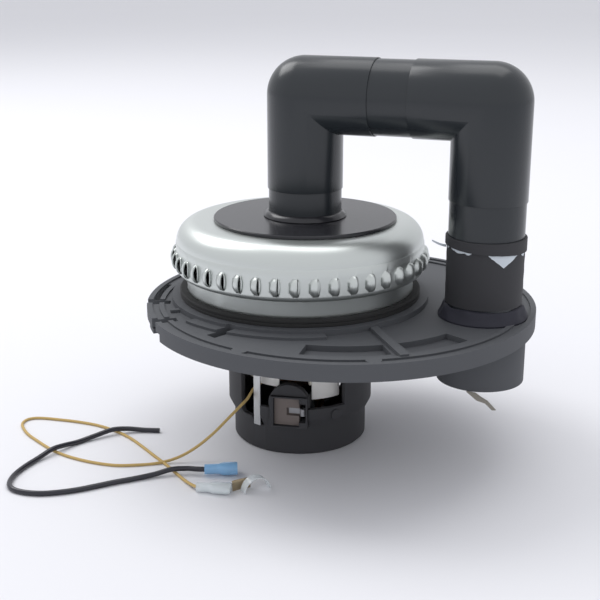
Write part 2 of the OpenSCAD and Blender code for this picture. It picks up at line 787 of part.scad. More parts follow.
// Coupling glued under the plate: the pipe above the stop, a free mouth below it
module port_socket() color("#3a3d3f")
    translate([port_x, 0, 0])
        difference() {
            translate([0, 0, port_bottom]) cylinder(r = port_r, h = deck_z - port_bottom);
            translate([0, 0, port_bottom - 1]) cylinder(r = mouth_r, h = mouth_l + 1);
            translate([0, 0, port_bottom - 1]) cylinder(r = bore_r, h = deck_z);
            translate([0, 0, port_leg_z]) cylinder(r = socket_r, h = deck_z);
            // lead-in chamfer at the mouth
            translate([0, 0, port_bottom - eps])
                cylinder(r1 = mouth_r + 1, r2 = mouth_r - eps, h = 1);
        }

module black_tape() color("#202225")
    // its last turn laps over the film's upper edge
    translate([port_x, 0, 0])
        rotate_extrude()
            polygon([
                [socket_r, tape_z], [tape_r, tape_z], [tape_r, film_z + film_h + seat_gap],
                [lap_r - tape_t, film_z + film_h + seat_gap], [lap_r - tape_t, film_z + 0.4],
                [lap_r, film_z + 0.4], [lap_r, tape_z + tape_h], [socket_r, tape_z + tape_h]
            ]);

// Band of film torn along its lower edge: all below the band is cut away but the pointed tongues
module torn_film() color("#b9c2cc") {
    low_z = film_z - 2.2 * film_h;
    translate([port_x, 0, 0]) {
        // loose flap
        rotate([0, 0, -172])
            translate([film_r + film_t / 2, film_t / 2, film_z])
                rotate([90, 0, 0])
                    linear_extrude(height = film_t)
                        polygon([[-0.1, -1.6], [-0.1, 0.3], [0.12, 0.3], [0.3, -0.1], [1, -0.1],
                            [2.2, 1.6], [7.4, 2.4],
                            [8, 0.9], [5, 0.2], [2, -1.5]]);
        difference() {
            ring(film_r, film_r + film_t, low_z, film_z + film_h - low_z);
            difference() {
                ring(film_r - 1, film_r + film_t + 1, low_z - 1, film_z - low_z + 1);
                // angle, half width and length of each tongue, in band heights
                for (a = [[-52, 3.2, 2.1], [-122, 3.8, 0.6], [170, 1.2, 1.4], [-12, 1.3, 0.7]])
                    rotate([0, 0, a[0]])
                        translate([pipe_r / 2, 0, film_z])
                            rotate([90, 0, 90])
                                linear_extrude(height = pipe_r)
                                    polygon(film_h * [
                                        [-a[1], 0.4], [-0.7 * a[1], -0.3 * a[2]], [0.1 * a[1], -a[2]],
                                        [0.5 * a[1], -0.4 * a[2]], [a[1], 0.4]
                                    ]);
            }
        }
    }
}

module sealing_mastic() color("#1a1b22")
    translate([port_x, 0, deck_top])
        rotate_extrude()
            polygon([[socket_r, 0], [mastic_r, 0], [mastic_r - 0.15 * mastic_w, 0.27 * mastic_h],
                [pipe_r + 0.55 * mastic_w, 0.6 * mastic_h], [pipe_r + 0.3 * mastic_w, 0.95 * mastic_h],
                [socket_r, mastic_h]]);

module seal_strip() color("#55524a")
    translate([port_x - 2, strip_seal_t - port_r, port_bottom])
        rotate([0, 0, -14])
            rotate([90, 0, 0])
                linear_extrude(height = strip_seal_t)
                    polygon([[0, 0], [0, -0.5], [6, -4], [11, -4.6], [15, -7.5], [17, -7],
                        [12, -3], [8, -1.5], [5, 0]]);

// ---------- leads ----------

module gold_lead() color("#b4935a") cord(gold_route, gold_d);
module black_lead() color("#26262c") cord(black_route, black_d);

// Nylon sleeve of a crimp terminal: a round neck that spreads into a flat mouth
module terminal_sleeve(neck_r, mouth_w, mouth_h, neck_l, length) {
    rotate([0, 90, 0]) cylinder(r = neck_r, h = neck_l, $fn = 32);
    hull() {
        translate([neck_l, 0, 0]) rotate([0, 90, 0]) cylinder(r = neck_r, h = 0.1, $fn = 32);
        for (s = [-1, 1])
            translate([neck_l + 4, s * (mouth_w - mouth_h) / 2, 0])
                rotate([0, 90, 0]) cylinder(r = mouth_h / 2, h = length - neck_l - 4, $fn = 32);
    }
}

blue_at = [-26, -77.3, 3.6];
clear_at = [-22, -95.8, 2.6];

module blue_sleeve() color("#8fbfe8", 0.8)
    translate(blue_at) rotate([0, 0, 24]) terminal_sleeve(2.7, 8.5, 6.4, 6, 17.5);

module clear_sleeve() color("#dfe6ea", 0.6)
    translate(clear_at) rotate([0, 0, 14]) terminal_sleeve(2.5, 9, 5, 5, 18);

module brass_tab() color("#8b7a5e")
    translate([clear_at[0] + 18, clear_at[1] + 5.4, 0.1])
        rotate([0, 0, 50]) {
            cube([10.5, 0.8, 6.3]);
        }

clip_at = [0.6, -87, 0.1];

module clear_clip() color("#cfd0d4", 0.7)
    translate(clip_at)
        rotate([0, 0, 50])
            difference() {
                rotate([90, 0, 0]) translate([6, 0, -1]) cylinder(r = 8, h = 6, $fn = 40);
                rotate([90, 0, 0]) translate([6, 0, -2]) cylinder(r = 7, h = 8, $fn = 40);
                translate([-20, -20, -20]) cube([60, 60, 20]);
            }

motor_housing();
field_core();
field_coils();
coil_insulation();
field_screws();
brush_holders();
front_brush();
rear_brush();
front_brush_spring();
rear_brush_spring();
earth_strip();
lower_bearing_race();
upper_bearing_race();
fan_bracket();
shaft();
lower_bearing_hub();
upper_bearing_hub();
commutator();
commutator_hub();
armature_core();
armature_windings();
fan_spacer();
fan_back_plate();
fan_blades();
fan_front_plate();
fan_washer();
fan_nut();
mounting_plate();
rubber_ring();
fan_shell();
inlet_disc();
pipe_foot_bead();
inlet_leg();
inlet_elbow();
cross_pipe();
port_elbow();
port_leg();
port_socket();
black_tape();
torn_film();
sealing_mastic();
seal_strip();
gold_lead();
black_lead();
blue_sleeve();
clear_sleeve();
brass_tab();
clear_clip();
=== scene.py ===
"""Studio scene of a suction turbine.

A brushed motor drives a fan under a louvred metal shell. A rubber ring holds it in a round moulded
plate, and a U of square-cornered pipe runs from the fan's inlet to a port in the plate.
Every length is written in millimetres and turned to metres by MM.
"""

from __future__ import annotations

import json
import logging
import math
import random
from dataclasses import dataclass, field
from enum import Enum
from typing import Callable, Iterable, Sequence

import bmesh
import bpy
from mathutils import Matrix, Vector, noise
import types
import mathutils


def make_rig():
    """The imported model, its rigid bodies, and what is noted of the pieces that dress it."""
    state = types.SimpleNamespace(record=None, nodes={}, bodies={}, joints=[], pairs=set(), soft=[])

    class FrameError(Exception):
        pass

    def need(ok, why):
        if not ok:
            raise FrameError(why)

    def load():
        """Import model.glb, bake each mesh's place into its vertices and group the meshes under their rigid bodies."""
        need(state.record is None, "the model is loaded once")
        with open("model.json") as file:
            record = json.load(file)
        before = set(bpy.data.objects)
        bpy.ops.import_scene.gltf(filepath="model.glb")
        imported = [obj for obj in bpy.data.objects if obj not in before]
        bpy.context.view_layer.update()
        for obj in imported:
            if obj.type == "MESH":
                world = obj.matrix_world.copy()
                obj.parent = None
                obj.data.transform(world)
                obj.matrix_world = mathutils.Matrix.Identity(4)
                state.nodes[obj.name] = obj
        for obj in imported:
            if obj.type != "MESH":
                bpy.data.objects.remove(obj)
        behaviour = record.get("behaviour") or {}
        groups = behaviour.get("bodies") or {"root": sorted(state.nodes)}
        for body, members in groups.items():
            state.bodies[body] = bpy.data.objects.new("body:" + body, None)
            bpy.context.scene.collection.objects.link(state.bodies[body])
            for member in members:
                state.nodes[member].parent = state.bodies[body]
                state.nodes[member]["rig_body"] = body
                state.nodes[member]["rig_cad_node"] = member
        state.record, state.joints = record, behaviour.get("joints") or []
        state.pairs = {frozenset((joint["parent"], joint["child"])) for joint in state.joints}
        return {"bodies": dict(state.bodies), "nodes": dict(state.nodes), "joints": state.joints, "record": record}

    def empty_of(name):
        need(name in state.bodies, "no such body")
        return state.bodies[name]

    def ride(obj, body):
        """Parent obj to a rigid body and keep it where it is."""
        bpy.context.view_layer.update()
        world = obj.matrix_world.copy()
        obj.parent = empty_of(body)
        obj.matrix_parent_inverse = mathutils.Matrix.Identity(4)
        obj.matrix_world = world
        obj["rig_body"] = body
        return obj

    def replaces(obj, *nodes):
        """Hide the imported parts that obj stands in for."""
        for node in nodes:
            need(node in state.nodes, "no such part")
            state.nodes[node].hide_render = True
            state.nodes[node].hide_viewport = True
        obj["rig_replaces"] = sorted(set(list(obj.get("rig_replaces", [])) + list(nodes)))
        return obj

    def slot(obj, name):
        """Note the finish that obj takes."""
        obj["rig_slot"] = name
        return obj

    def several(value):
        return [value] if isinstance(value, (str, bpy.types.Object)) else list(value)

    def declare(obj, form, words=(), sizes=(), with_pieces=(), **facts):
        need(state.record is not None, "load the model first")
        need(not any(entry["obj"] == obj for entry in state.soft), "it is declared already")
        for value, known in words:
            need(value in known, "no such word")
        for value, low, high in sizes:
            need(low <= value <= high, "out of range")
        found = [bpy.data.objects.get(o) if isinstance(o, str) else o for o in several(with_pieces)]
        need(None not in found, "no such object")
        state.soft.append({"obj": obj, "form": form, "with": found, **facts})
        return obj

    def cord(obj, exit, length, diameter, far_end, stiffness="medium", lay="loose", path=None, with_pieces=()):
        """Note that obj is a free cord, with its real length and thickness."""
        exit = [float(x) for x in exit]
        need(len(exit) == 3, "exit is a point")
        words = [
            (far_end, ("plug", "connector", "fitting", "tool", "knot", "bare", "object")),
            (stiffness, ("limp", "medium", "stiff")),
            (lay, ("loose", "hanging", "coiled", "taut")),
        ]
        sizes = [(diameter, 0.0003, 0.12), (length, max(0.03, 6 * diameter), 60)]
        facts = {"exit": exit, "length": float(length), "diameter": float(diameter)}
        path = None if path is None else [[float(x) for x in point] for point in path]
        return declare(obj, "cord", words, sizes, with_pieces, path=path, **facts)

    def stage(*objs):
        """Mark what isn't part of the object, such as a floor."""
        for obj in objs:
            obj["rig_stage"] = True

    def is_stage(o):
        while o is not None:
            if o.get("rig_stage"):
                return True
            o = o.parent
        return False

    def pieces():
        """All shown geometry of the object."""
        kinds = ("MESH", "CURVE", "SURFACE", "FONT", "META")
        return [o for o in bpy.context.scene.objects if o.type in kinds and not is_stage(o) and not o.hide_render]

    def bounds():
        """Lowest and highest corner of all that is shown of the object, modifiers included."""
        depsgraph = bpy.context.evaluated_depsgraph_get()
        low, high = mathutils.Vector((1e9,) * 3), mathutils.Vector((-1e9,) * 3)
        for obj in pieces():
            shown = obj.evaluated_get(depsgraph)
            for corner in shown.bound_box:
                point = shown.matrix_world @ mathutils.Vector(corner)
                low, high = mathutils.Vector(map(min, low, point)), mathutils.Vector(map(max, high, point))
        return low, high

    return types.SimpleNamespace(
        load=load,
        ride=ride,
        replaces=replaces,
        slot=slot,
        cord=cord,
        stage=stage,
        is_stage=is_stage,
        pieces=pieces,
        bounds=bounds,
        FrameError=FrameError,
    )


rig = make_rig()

LOG = logging.getLogger("turbine")
MM = 0.001
SIZE_FILE = "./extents.json"
Point = tuple[float, float]
Point3 = tuple[float, float, float]
Colour = tuple[float, float, float]


# ---------- shader graphs ----------


class Graph:
    """A node tree that is built with short calls."""

    def __init__(self, tree: bpy.types.NodeTree) -> None:
        """Wraps a node tree.

        Args:
            tree: the node tree to add nodes to.
        """
        self.tree = tree

    def add(self, kind: str, **settings: object) -> bpy.types.Node:
        """Adds a node and sets its properties.

        Args:
            kind: the node's type name, without the ShaderNode prefix.
            settings: properties of the node, by name.

        Returns:
            The new node.
        """
        node = self.tree.nodes.new("ShaderNode" + kind)
        for name, value in settings.items():
            setattr(node, name, value)
        return node

    def join(self, start: bpy.types.NodeSocket, end: bpy.types.NodeSocket) -> None:
        """Links one socket to another.

        Args:
            start: an output socket.
            end: an input socket.
        """
        self.tree.links.new(start, end)

    def mix(self, mask: bpy.types.NodeSocket, low: Colour, high: Colour) -> bpy.types.NodeSocket:
        """Mixes two colours by a mask.

        Args:
            mask: a value from 0 to 1.
            low: the colour where the mask is 0.
            high: the colour where the mask is 1.

        Returns:
            The mixed colour's socket.
        """
        node = self.add("Mix", data_type="RGBA")
        self.join(mask, node.inputs[0])
        node.inputs[6].default_value = (*low, 1)
        node.inputs[7].default_value = (*high, 1)
        return node.outputs[2]

    def over(
        self, mask: bpy.types.NodeSocket, base: bpy.types.NodeSocket, high: Colour
    ) -> bpy.types.NodeSocket:
        """Lays a colour over another one by a mask.

        Args:
            mask: a value from 0 to 1.
            base: the colour where the mask is 0.
            high: the colour where the mask is 1.

        Returns:
            The mixed colour's socket.
        """
        node = self.add("Mix", data_type="RGBA")
        self.join(mask, node.inputs[0])
        self.join(base, node.inputs[6])
        node.inputs[7].default_value = (*high, 1)
        return node.outputs[2]

    def ramp(self, value: bpy.types.NodeSocket, low: float, high: float) -> bpy.types.NodeSocket:
        """Maps a mask from 0..1 to low..high.

        Args:
            value: a value from 0 to 1.
            low: the result where the value is 0.
            high: the result where the value is 1.

        Returns:
            The mapped value's socket.
        """
        node = self.add("MapRange")
        self.join(value, node.inputs["Value"])
        node.inputs["To Min"].default_value = low
        node.inputs["To Max"].default_value = high
        return node.outputs["Result"]

    def combine(self, how: str, *values: bpy.types.NodeSocket | float) -> bpy.types.NodeSocket:
        """Adds a Math node.

        Args:
            how: the operation's name.
            values: sockets or numbers.

        Returns:
            The result's socket.
        """
        node = self.add("Math", operation=how)
        for place, value in enumerate(values):
            if isinstance(value, (int, float)):
                node.inputs[place].default_value = value
            else:
                self.join(value, node.inputs[place])
        return node.outputs[0]


def new_group(name: str, inputs: Sequence[tuple[str, str, float]], outputs: Sequence[tuple[str, str]]) -> Graph:
    """Starts a shader node group with its sockets.

    Args:
        name: the group's name.
        inputs: each input's name, socket type and default.
        outputs: each output's name and socket type.

    Returns:
        The group's graph, with nodes named "in" and "out".
    """
    tree = bpy.data.node_groups.new(name, "ShaderNodeTree")
    for label, kind, default in inputs:
        made = tree.interface.new_socket(name=label, in_out="INPUT", socket_type=kind)
        if kind == "NodeSocketFloat":
            made.default_value = default
    for label, kind in outputs:
        tree.interface.new_socket(name=label, in_out="OUTPUT", socket_type=kind)
    tree.nodes.new("NodeGroupInput").name = "in"
    tree.nodes.new("NodeGroupOutput").name = "out"
    return Graph(tree)


def cloud_group() -> bpy.types.NodeTree:
    """Returns the group that gives a soft blotchy mask, used for dust, smudges and stains."""
    graph = new_group(
        "cloud_mask",
        [
            ("Vector", "NodeSocketVector", 0),
            ("Scale", "NodeSocketFloat", 60),
            ("Low", "NodeSocketFloat", 0.4),
            ("High", "NodeSocketFloat", 0.7),
        ],
        [("Mask", "NodeSocketFloat")],
    )
    start, end = graph.tree.nodes["in"], graph.tree.nodes["out"]
    clouds = graph.add("TexNoise")
    clouds.inputs["Detail"].default_value = 6
    clouds.inputs["Roughness"].default_value = 0.62
    graph.join(start.outputs["Vector"], clouds.inputs["Vector"])
    graph.join(start.outputs["Scale"], clouds.inputs["Scale"])
    limits = graph.add("MapRange", interpolation_type="SMOOTHSTEP")
    graph.join(clouds.outputs["Fac"], limits.inputs["Value"])
    graph.join(start.outputs["Low"], limits.inputs["From Min"])
    graph.join(start.outputs["High"], limits.inputs["From Max"])
    graph.join(limits.outputs["Result"], end.inputs["Mask"])
    return graph.tree


def streak_group() -> bpy.types.NodeTree:
    """Returns the group that gives a mask of fine scratches, drawn out along one axis."""
    graph = new_group(
        "streak_mask",
        [
            ("Vector", "NodeSocketVector", 0),
            ("Scale", "NodeSocketFloat", 400),
            ("Low", "NodeSocketFloat", 0.62),
            ("High", "NodeSocketFloat", 0.72),
        ],
        [("Mask", "NodeSocketFloat")],
    )
    start, end = graph.tree.nodes["in"], graph.tree.nodes["out"]
    masks = []
    for turn, stretch in ((0.5, 0.04), (-0.9, 0.07)):
        place = graph.add("Mapping")
        place.inputs["Rotation"].default_value = (turn, turn * 0.6, turn * 1.4)
        place.inputs["Scale"].default_value = (1, stretch, 1)
        graph.join(start.outputs["Vector"], place.inputs["Vector"])
        lines = graph.add("TexNoise")
        lines.inputs["Detail"].default_value = 2
        graph.join(place.outputs["Vector"], lines.inputs["Vector"])
        graph.join(start.outputs["Scale"], lines.inputs["Scale"])
        masks.append(lines.outputs["Fac"])
    most = graph.combine("MAXIMUM", *masks)
    limits = graph.add("MapRange")
    graph.join(most, limits.inputs["Value"])
    graph.join(start.outputs["Low"], limits.inputs["From Min"])
    graph.join(start.outputs["High"], limits.inputs["From Max"])
    graph.join(limits.outputs["Result"], end.inputs["Mask"])
    return graph.tree


def grain_group() -> bpy.types.NodeTree:
    """Returns the group that gives the normal of a finely grained surface with slow waves in it."""
    graph = new_group(
        "grain_normal",
        [
            ("Vector", "NodeSocketVector", 0),
            ("Scale", "NodeSocketFloat", 900),
            ("Strength", "NodeSocketFloat", 0.1),
            ("Wave Scale", "NodeSocketFloat", 25),
            ("Wave Strength", "NodeSocketFloat", 0.05),
        ],
        [("Normal", "NodeSocketVector")],
    )
    start, end = graph.tree.nodes["in"], graph.tree.nodes["out"]
    normal = None
    for scale, strength, distance, detail in (
        ("Wave Scale", "Wave Strength", 2.0, 1),
        ("Scale", "Strength", 0.12, 3),
    ):
        pattern = graph.add("TexNoise")
        pattern.inputs["Detail"].default_value = detail
        graph.join(start.outputs["Vector"], pattern.inputs["Vector"])
        graph.join(start.outputs[scale], pattern.inputs["Scale"])
        bump = graph.add("Bump")
        bump.inputs["Distance"].default_value = distance * MM
        graph.join(start.outputs[strength], bump.inputs["Strength"])
        graph.join(pattern.outputs["Fac"], bump.inputs["Height"])
        if normal:
            graph.join(normal, bump.inputs["Normal"])
        normal = bump.outputs["Normal"]
    graph.join(normal, end.inputs["Normal"])
    return graph.tree


class Pattern(Enum):
    """The regular pattern that a finish carries besides its grain and dirt, with painted shade darkening its grooves.
    """

    PLAIN = "plain"
    LAMINATED = "laminated"
    WOUND = "wound"
    TURNED = "turned"
    CARBON = "carbon"


@dataclass(frozen=True)
class Finish:
    """One surface finish, made as a material the first time that it is asked for."""

    name: str
    colour: Colour
    second: Colour
    roughness: tuple[float, float] = (0.4, 0.55)
    metallic: float = 0.0
    dust: Colour = (0.3, 0.3, 0.3)
    dust_limits: tuple[float, float] = (0.66, 0.95)
    blotch: float = 35.0
    scratch: float = 0.0
    grain: tuple[float, float] = (900.0, 0.1)
    wave: tuple[float, float] = (25.0, 0.03)
    clear: float = 0.0
    ior: float = 1.5
    specular: float = 0.5
    coat: float = 0.0
    sheen: float = 0.0
    pattern: Pattern = Pattern.PLAIN
    pitch: float = 0.5

    def material(self) -> bpy.types.Material:
        """Returns this finish's material, made on the first call."""
        made = bpy.data.materials.get(self.name)
        if made:
            return made
        made = bpy.data.materials.new(self.name)
        made.use_nodes = True
        made.node_tree.nodes.clear()
        graph = Graph(made.node_tree)
        shader = graph.add("BsdfPrincipled")
        end = graph.add("OutputMaterial")
        graph.join(shader.outputs["BSDF"], end.inputs["Surface"])
        place = graph.add("TexCoord").outputs["Object"]
        mottle = self.mask(graph, "cloud_mask", place, self.blotch, 0.3, 0.75)
        colour = graph.mix(mottle, self.colour, self.second)
        dust = self.mask(graph, "cloud_mask", place, self.blotch * 2.7, *self.dust_limits)
        colour = graph.over(dust, colour, self.dust)
        rough = graph.ramp(mottle, *self.roughness)
        rough = graph.combine("MAXIMUM", rough, graph.ramp(dust, self.roughness[0], 0.75))
        if self.scratch:
            lines = self.mask(graph, "streak_mask", place, 420, 0.63, 0.75)
            lines = graph.combine("MULTIPLY", lines, self.scratch)
            colour = graph.over(lines, colour, tuple(min(1, c * 2.2 + 0.05) for c in self.second))
            rough = graph.combine("ADD", rough, graph.ramp(lines, 0, 0.25))
        grain = graph.add("Group", node_tree=bpy.data.node_groups["grain_normal"])
        graph.join(place, grain.inputs["Vector"])
        for socket, value in zip(
            ("Scale", "Strength", "Wave Scale", "Wave Strength"), (*self.grain, *self.wave)
        ):
            grain.inputs[socket].default_value = value
        colour, normal = self.patterned(graph, place, colour, grain.outputs["Normal"])
        graph.join(colour, shader.inputs["Base Color"])
        graph.join(rough, shader.inputs["Roughness"])
        graph.join(normal, shader.inputs["Normal"])
        shader.inputs["Metallic"].default_value = self.metallic
        shader.inputs["IOR"].default_value = self.ior
        shader.inputs["Specular IOR Level"].default_value = self.specular
        shader.inputs["Transmission Weight"].default_value = self.clear
        shader.inputs["Coat Weight"].default_value = self.coat
        shader.inputs["Coat Roughness"].default_value = 0.12
        shader.inputs["Sheen Weight"].default_value = self.sheen
        made.diffuse_color = (*self.colour, 1)
        return made

    def mask(
        self, graph: Graph, group: str, place: bpy.types.NodeSocket, scale: float, low: float, high: float
    ) -> bpy.types.NodeSocket:
        """Adds one of the shared mask groups.

        Args:
            graph: the material's graph.
            group: the group's name.
            place: the coordinates' socket.
            scale: the pattern's scale, per metre.
            low: the value below which the mask is 0.
            high: the value above which the mask is 1.

        Returns:
            The mask's socket.
        """
        node = graph.add("Group", node_tree=bpy.data.node_groups[group])
        graph.join(place, node.inputs["Vector"])
        node.inputs["Scale"].default_value = scale
        node.inputs["Low"].default_value = low
        node.inputs["High"].default_value = high
        return node.outputs["Mask"]

    def patterned(
        self,
        graph: Graph,
        place: bpy.types.NodeSocket,
        colour: bpy.types.NodeSocket,
        normal: bpy.types.NodeSocket,
    ) -> tuple[bpy.types.NodeSocket, bpy.types.NodeSocket]:
        """Lays the finish's regular pattern over its colour and normal, with painted shade darkening the colour in the
        pattern's grooves.

        Args:
            graph: the material's graph.
            place: the coordinates' socket.
            colour: the colour so far.
            normal: the normal so far.

        Returns:
            The colour's and the normal's socket.
        """
        if self.pattern is Pattern.PLAIN:
            return colour, normal
        axes = {Pattern.LAMINATED: "Z", Pattern.WOUND: "Z", Pattern.TURNED: "X", Pattern.CARBON: "Y"}
        wave = graph.add("TexWave", bands_direction=axes[self.pattern])
        if self.pattern is Pattern.TURNED:
            wave.wave_type = "RINGS"
            wave.rings_direction = "Z"
        wave.inputs["Scale"].default_value = 0.314 / (self.pitch * MM) / 2
        wave.inputs["Distortion"].default_value = 0.6 if self.pattern is Pattern.WOUND else 0.15
        wave.inputs["Detail"].default_value = 1
        graph.join(place, wave.inputs["Vector"])
        # painted shade: the colour is darkened where the pattern's bump is low, in the grooves between turns, sheets
        # and rings
        deep = graph.ramp(wave.outputs["Fac"], 0.35 if self.pattern is not Pattern.TURNED else 0.1, 0)
        groove_shade_colour = tuple(c * 0.35 for c in self.colour)
        colour = graph.over(deep, colour, groove_shade_colour)
        bump = graph.add("Bump")
        bump.inputs["Distance"].default_value = 0.12 * MM
        bump.inputs["Strength"].default_value = 0.5
        graph.join(wave.outputs["Fac"], bump.inputs["Height"])
        graph.join(normal, bump.inputs["Normal"])
        return colour, bump.outputs["Normal"]


class Finishes:
    """Every finish on the object, by the record's material slot."""

    housing_plastic = Finish(
        "housing_plastic", (0.009, 0.0095, 0.0105), (0.016, 0.0165, 0.018), (0.26, 0.38), specular=0.13,
        dust=(0.05, 0.05, 0.048), scratch=0.06, grain=(1400, 0.12), wave=(30, 0.05),
    )
    plate_plastic = Finish(
        "plate_plastic", (0.013, 0.0155, 0.016), (0.024, 0.0275, 0.028), (0.24, 0.36),
        specular=0.3, dust=(0.07, 0.075, 0.075), dust_limits=(0.62, 0.9), scratch=0.12, grain=(1500, 0.14),
        wave=(22, 0.08),
    )
    pipe_plastic = Finish(
        "pipe_plastic", (0.0025, 0.003, 0.0045), (0.005, 0.006, 0.0085), (0.1, 0.17), specular=0.13,
        dust=(0.03, 0.035, 0.04), dust_limits=(0.72, 0.97), scratch=0.05, grain=(1800, 0.03),
        wave=(18, 0.05),
    )
    gloss_black = Finish(
        "gloss_black", (0.004, 0.0042, 0.0055), (0.009, 0.009, 0.011), (0.12, 0.2), specular=0.13,
        dust=(0.06, 0.06, 0.06), dust_limits=(0.7, 0.95), scratch=0.12, grain=(1700, 0.03),
        wave=(20, 0.04),
    )
    sealant = Finish(
        "sealant", (0.01, 0.0105, 0.012), (0.02, 0.02, 0.023), (0.12, 0.25), grain=(900, 0.1),
        wave=(120, 0.3),
    )
    mastic = Finish(
        "mastic", (0.012, 0.012, 0.018), (0.035, 0.034, 0.05), (0.16, 0.4),
        dust=(0.11, 0.11, 0.14), dust_limits=(0.52, 0.8), blotch=90, grain=(700, 0.3),
        wave=(160, 0.7),
    )
    shell_metal = Finish(
        "shell_metal", (0.5, 0.53, 0.51), (0.58, 0.61, 0.585), (0.3, 0.4), metallic=1.0,
        dust=(0.4, 0.41, 0.38), dust_limits=(0.55, 0.9), scratch=0.2, grain=(1500, 0.05),
        wave=(16, 0.05),
    )
    rubber = Finish(
        "rubber", (0.005, 0.005, 0.0055), (0.01, 0.01, 0.0105), (0.5, 0.66), specular=0.13,
        dust=(0.05, 0.05, 0.048), grain=(1200, 0.3), wave=(60, 0.12), sheen=0.05,
    )
    tape = Finish(
        "tape", (0.0055, 0.0055, 0.0065), (0.0105, 0.0105, 0.0125), (0.24, 0.36), specular=0.13,
        dust=(0.06, 0.065, 0.08), grain=(1300, 0.12), wave=(55, 0.25),
    )
    pale_film = Finish(
        "pale_film", (0.42, 0.5, 0.6), (0.62, 0.68, 0.76), (0.3, 0.5), blotch=120,
        dust=(0.25, 0.3, 0.37), dust_limits=(0.5, 0.8), grain=(800, 0.2), wave=(120, 0.4),
        clear=0.15,
    )
    strip_scrap = Finish(
        "strip_scrap", (0.16, 0.15, 0.13), (0.42, 0.4, 0.35), (0.5, 0.7), blotch=260,
        dust=(0.05, 0.05, 0.05), dust_limits=(0.45, 0.6), grain=(900, 0.4),
    )
    stack_steel = Finish(
        "stack_steel", (0.3, 0.3, 0.29), (0.4, 0.39, 0.37), (0.45, 0.6), metallic=0.8,
        dust=(0.14, 0.1, 0.07), pattern=Pattern.LAMINATED, pitch=0.6, grain=(900, 0.2),
    )
    coil_tape = Finish(
        "coil_tape", (0.55, 0.53, 0.46), (0.68, 0.66, 0.58), (0.45, 0.6), blotch=140,
        dust=(0.3, 0.27, 0.2), pattern=Pattern.WOUND, pitch=3.0, grain=(700, 0.3), wave=(160, 0.4),
    )
    insulation_film = Finish(
        "insulation_film", (0.6, 0.59, 0.56), (0.78, 0.77, 0.74), (0.3, 0.5), blotch=180,
        dust=(0.35, 0.33, 0.28), grain=(700, 0.25), wave=(230, 0.9),
    )
    bright_steel = Finish(
        "bright_steel", (0.55, 0.55, 0.53), (0.66, 0.66, 0.63), (0.22, 0.34), metallic=1.0,
        dust=(0.3, 0.27, 0.22), scratch=0.3, grain=(1500, 0.08),
    )
    carbon = Finish(
        "carbon", (0.085, 0.066, 0.062), (0.13, 0.1, 0.094), (0.5, 0.65), blotch=150,
        dust=(0.2, 0.17, 0.16), pattern=Pattern.CARBON, pitch=1.4, grain=(1600, 0.3), scratch=0.3,
    )
    spring_steel = Finish(
        "spring_steel", (0.2, 0.2, 0.21), (0.3, 0.3, 0.31), (0.3, 0.4), metallic=1.0,
        dust=(0.1, 0.1, 0.1), scratch=0.3,
    )
    bearing_steel = Finish(
        "bearing_steel", (0.55, 0.56, 0.57), (0.62, 0.63, 0.64), (0.15, 0.25), metallic=1.0,
        dust=(0.3, 0.3, 0.28), pattern=Pattern.TURNED, pitch=0.4,
    )
    cast_alloy = Finish(
        "cast_alloy", (0.45, 0.46, 0.46), (0.56, 0.57, 0.57), (0.4, 0.55), metallic=1.0,
        dust=(0.3, 0.3, 0.29), grain=(700, 0.4), wave=(60, 0.2),
    )
    fan_alloy = Finish(
        "fan_alloy", (0.6, 0.61, 0.62), (0.7, 0.71, 0.72), (0.25, 0.4), metallic=1.0,
        dust=(0.3, 0.29, 0.26), scratch=0.3, pattern=Pattern.TURNED, pitch=0.6,
    )
    copper = Finish(
        "copper", (0.5, 0.25, 0.13), (0.62, 0.34, 0.2), (0.25, 0.4), metallic=1.0,
        dust=(0.12, 0.08, 0.06), scratch=0.4, pattern=Pattern.LAMINATED, pitch=0.5,
    )
    phenolic = Finish(
        "phenolic", (0.09, 0.05, 0.03), (0.13, 0.08, 0.05), (0.35, 0.5), dust=(0.2, 0.17, 0.14),
    )
    enamel_wire = Finish(
        "enamel_wire", (0.3, 0.12, 0.045), (0.42, 0.19, 0.08), (0.25, 0.4), metallic=0.5,
        dust=(0.15, 0.09, 0.05), pattern=Pattern.WOUND, pitch=0.7, coat=0.4,
    )
    gold_sleeve = Finish(
        "gold_sleeve", (0.42, 0.29, 0.1), (0.56, 0.43, 0.21), (0.3, 0.45), blotch=60,
        dust=(0.2, 0.15, 0.08), grain=(2500, 0.3), sheen=0.1,
    )
    lead_black = Finish(
        "lead_black", (0.012, 0.012, 0.017), (0.022, 0.022, 0.03), (0.25, 0.38),
        dust=(0.1, 0.1, 0.12), grain=(2000, 0.1),
    )
    blue_nylon = Finish(
        "blue_nylon", (0.22, 0.52, 0.86), (0.34, 0.64, 0.92), (0.16, 0.28), blotch=90,
        dust=(0.6, 0.75, 0.9), grain=(1500, 0.06), wave=(120, 0.25), clear=0.35, ior=1.52,
    )
    clear_nylon = Finish(
        "clear_nylon", (0.72, 0.84, 0.86), (0.86, 0.92, 0.93), (0.1, 0.22), blotch=120,
        dust=(0.75, 0.8, 0.8), grain=(1500, 0.06), wave=(140, 0.35), clear=0.7, ior=1.5,
    )
    tab_brass = Finish(
        "tab_brass", (0.36, 0.25, 0.15), (0.5, 0.4, 0.28), (0.28, 0.45), metallic=0.9,
        dust=(0.16, 0.1, 0.06), blotch=240, scratch=0.4,
    )

    @classmethod
    def by_slot(cls, slot: str) -> Finish:
        """Returns the finish of one of the record's material slots.

        Args:
            slot: the slot's name.
        """
        return getattr(cls, slot)


# ---------- mesh helpers ----------


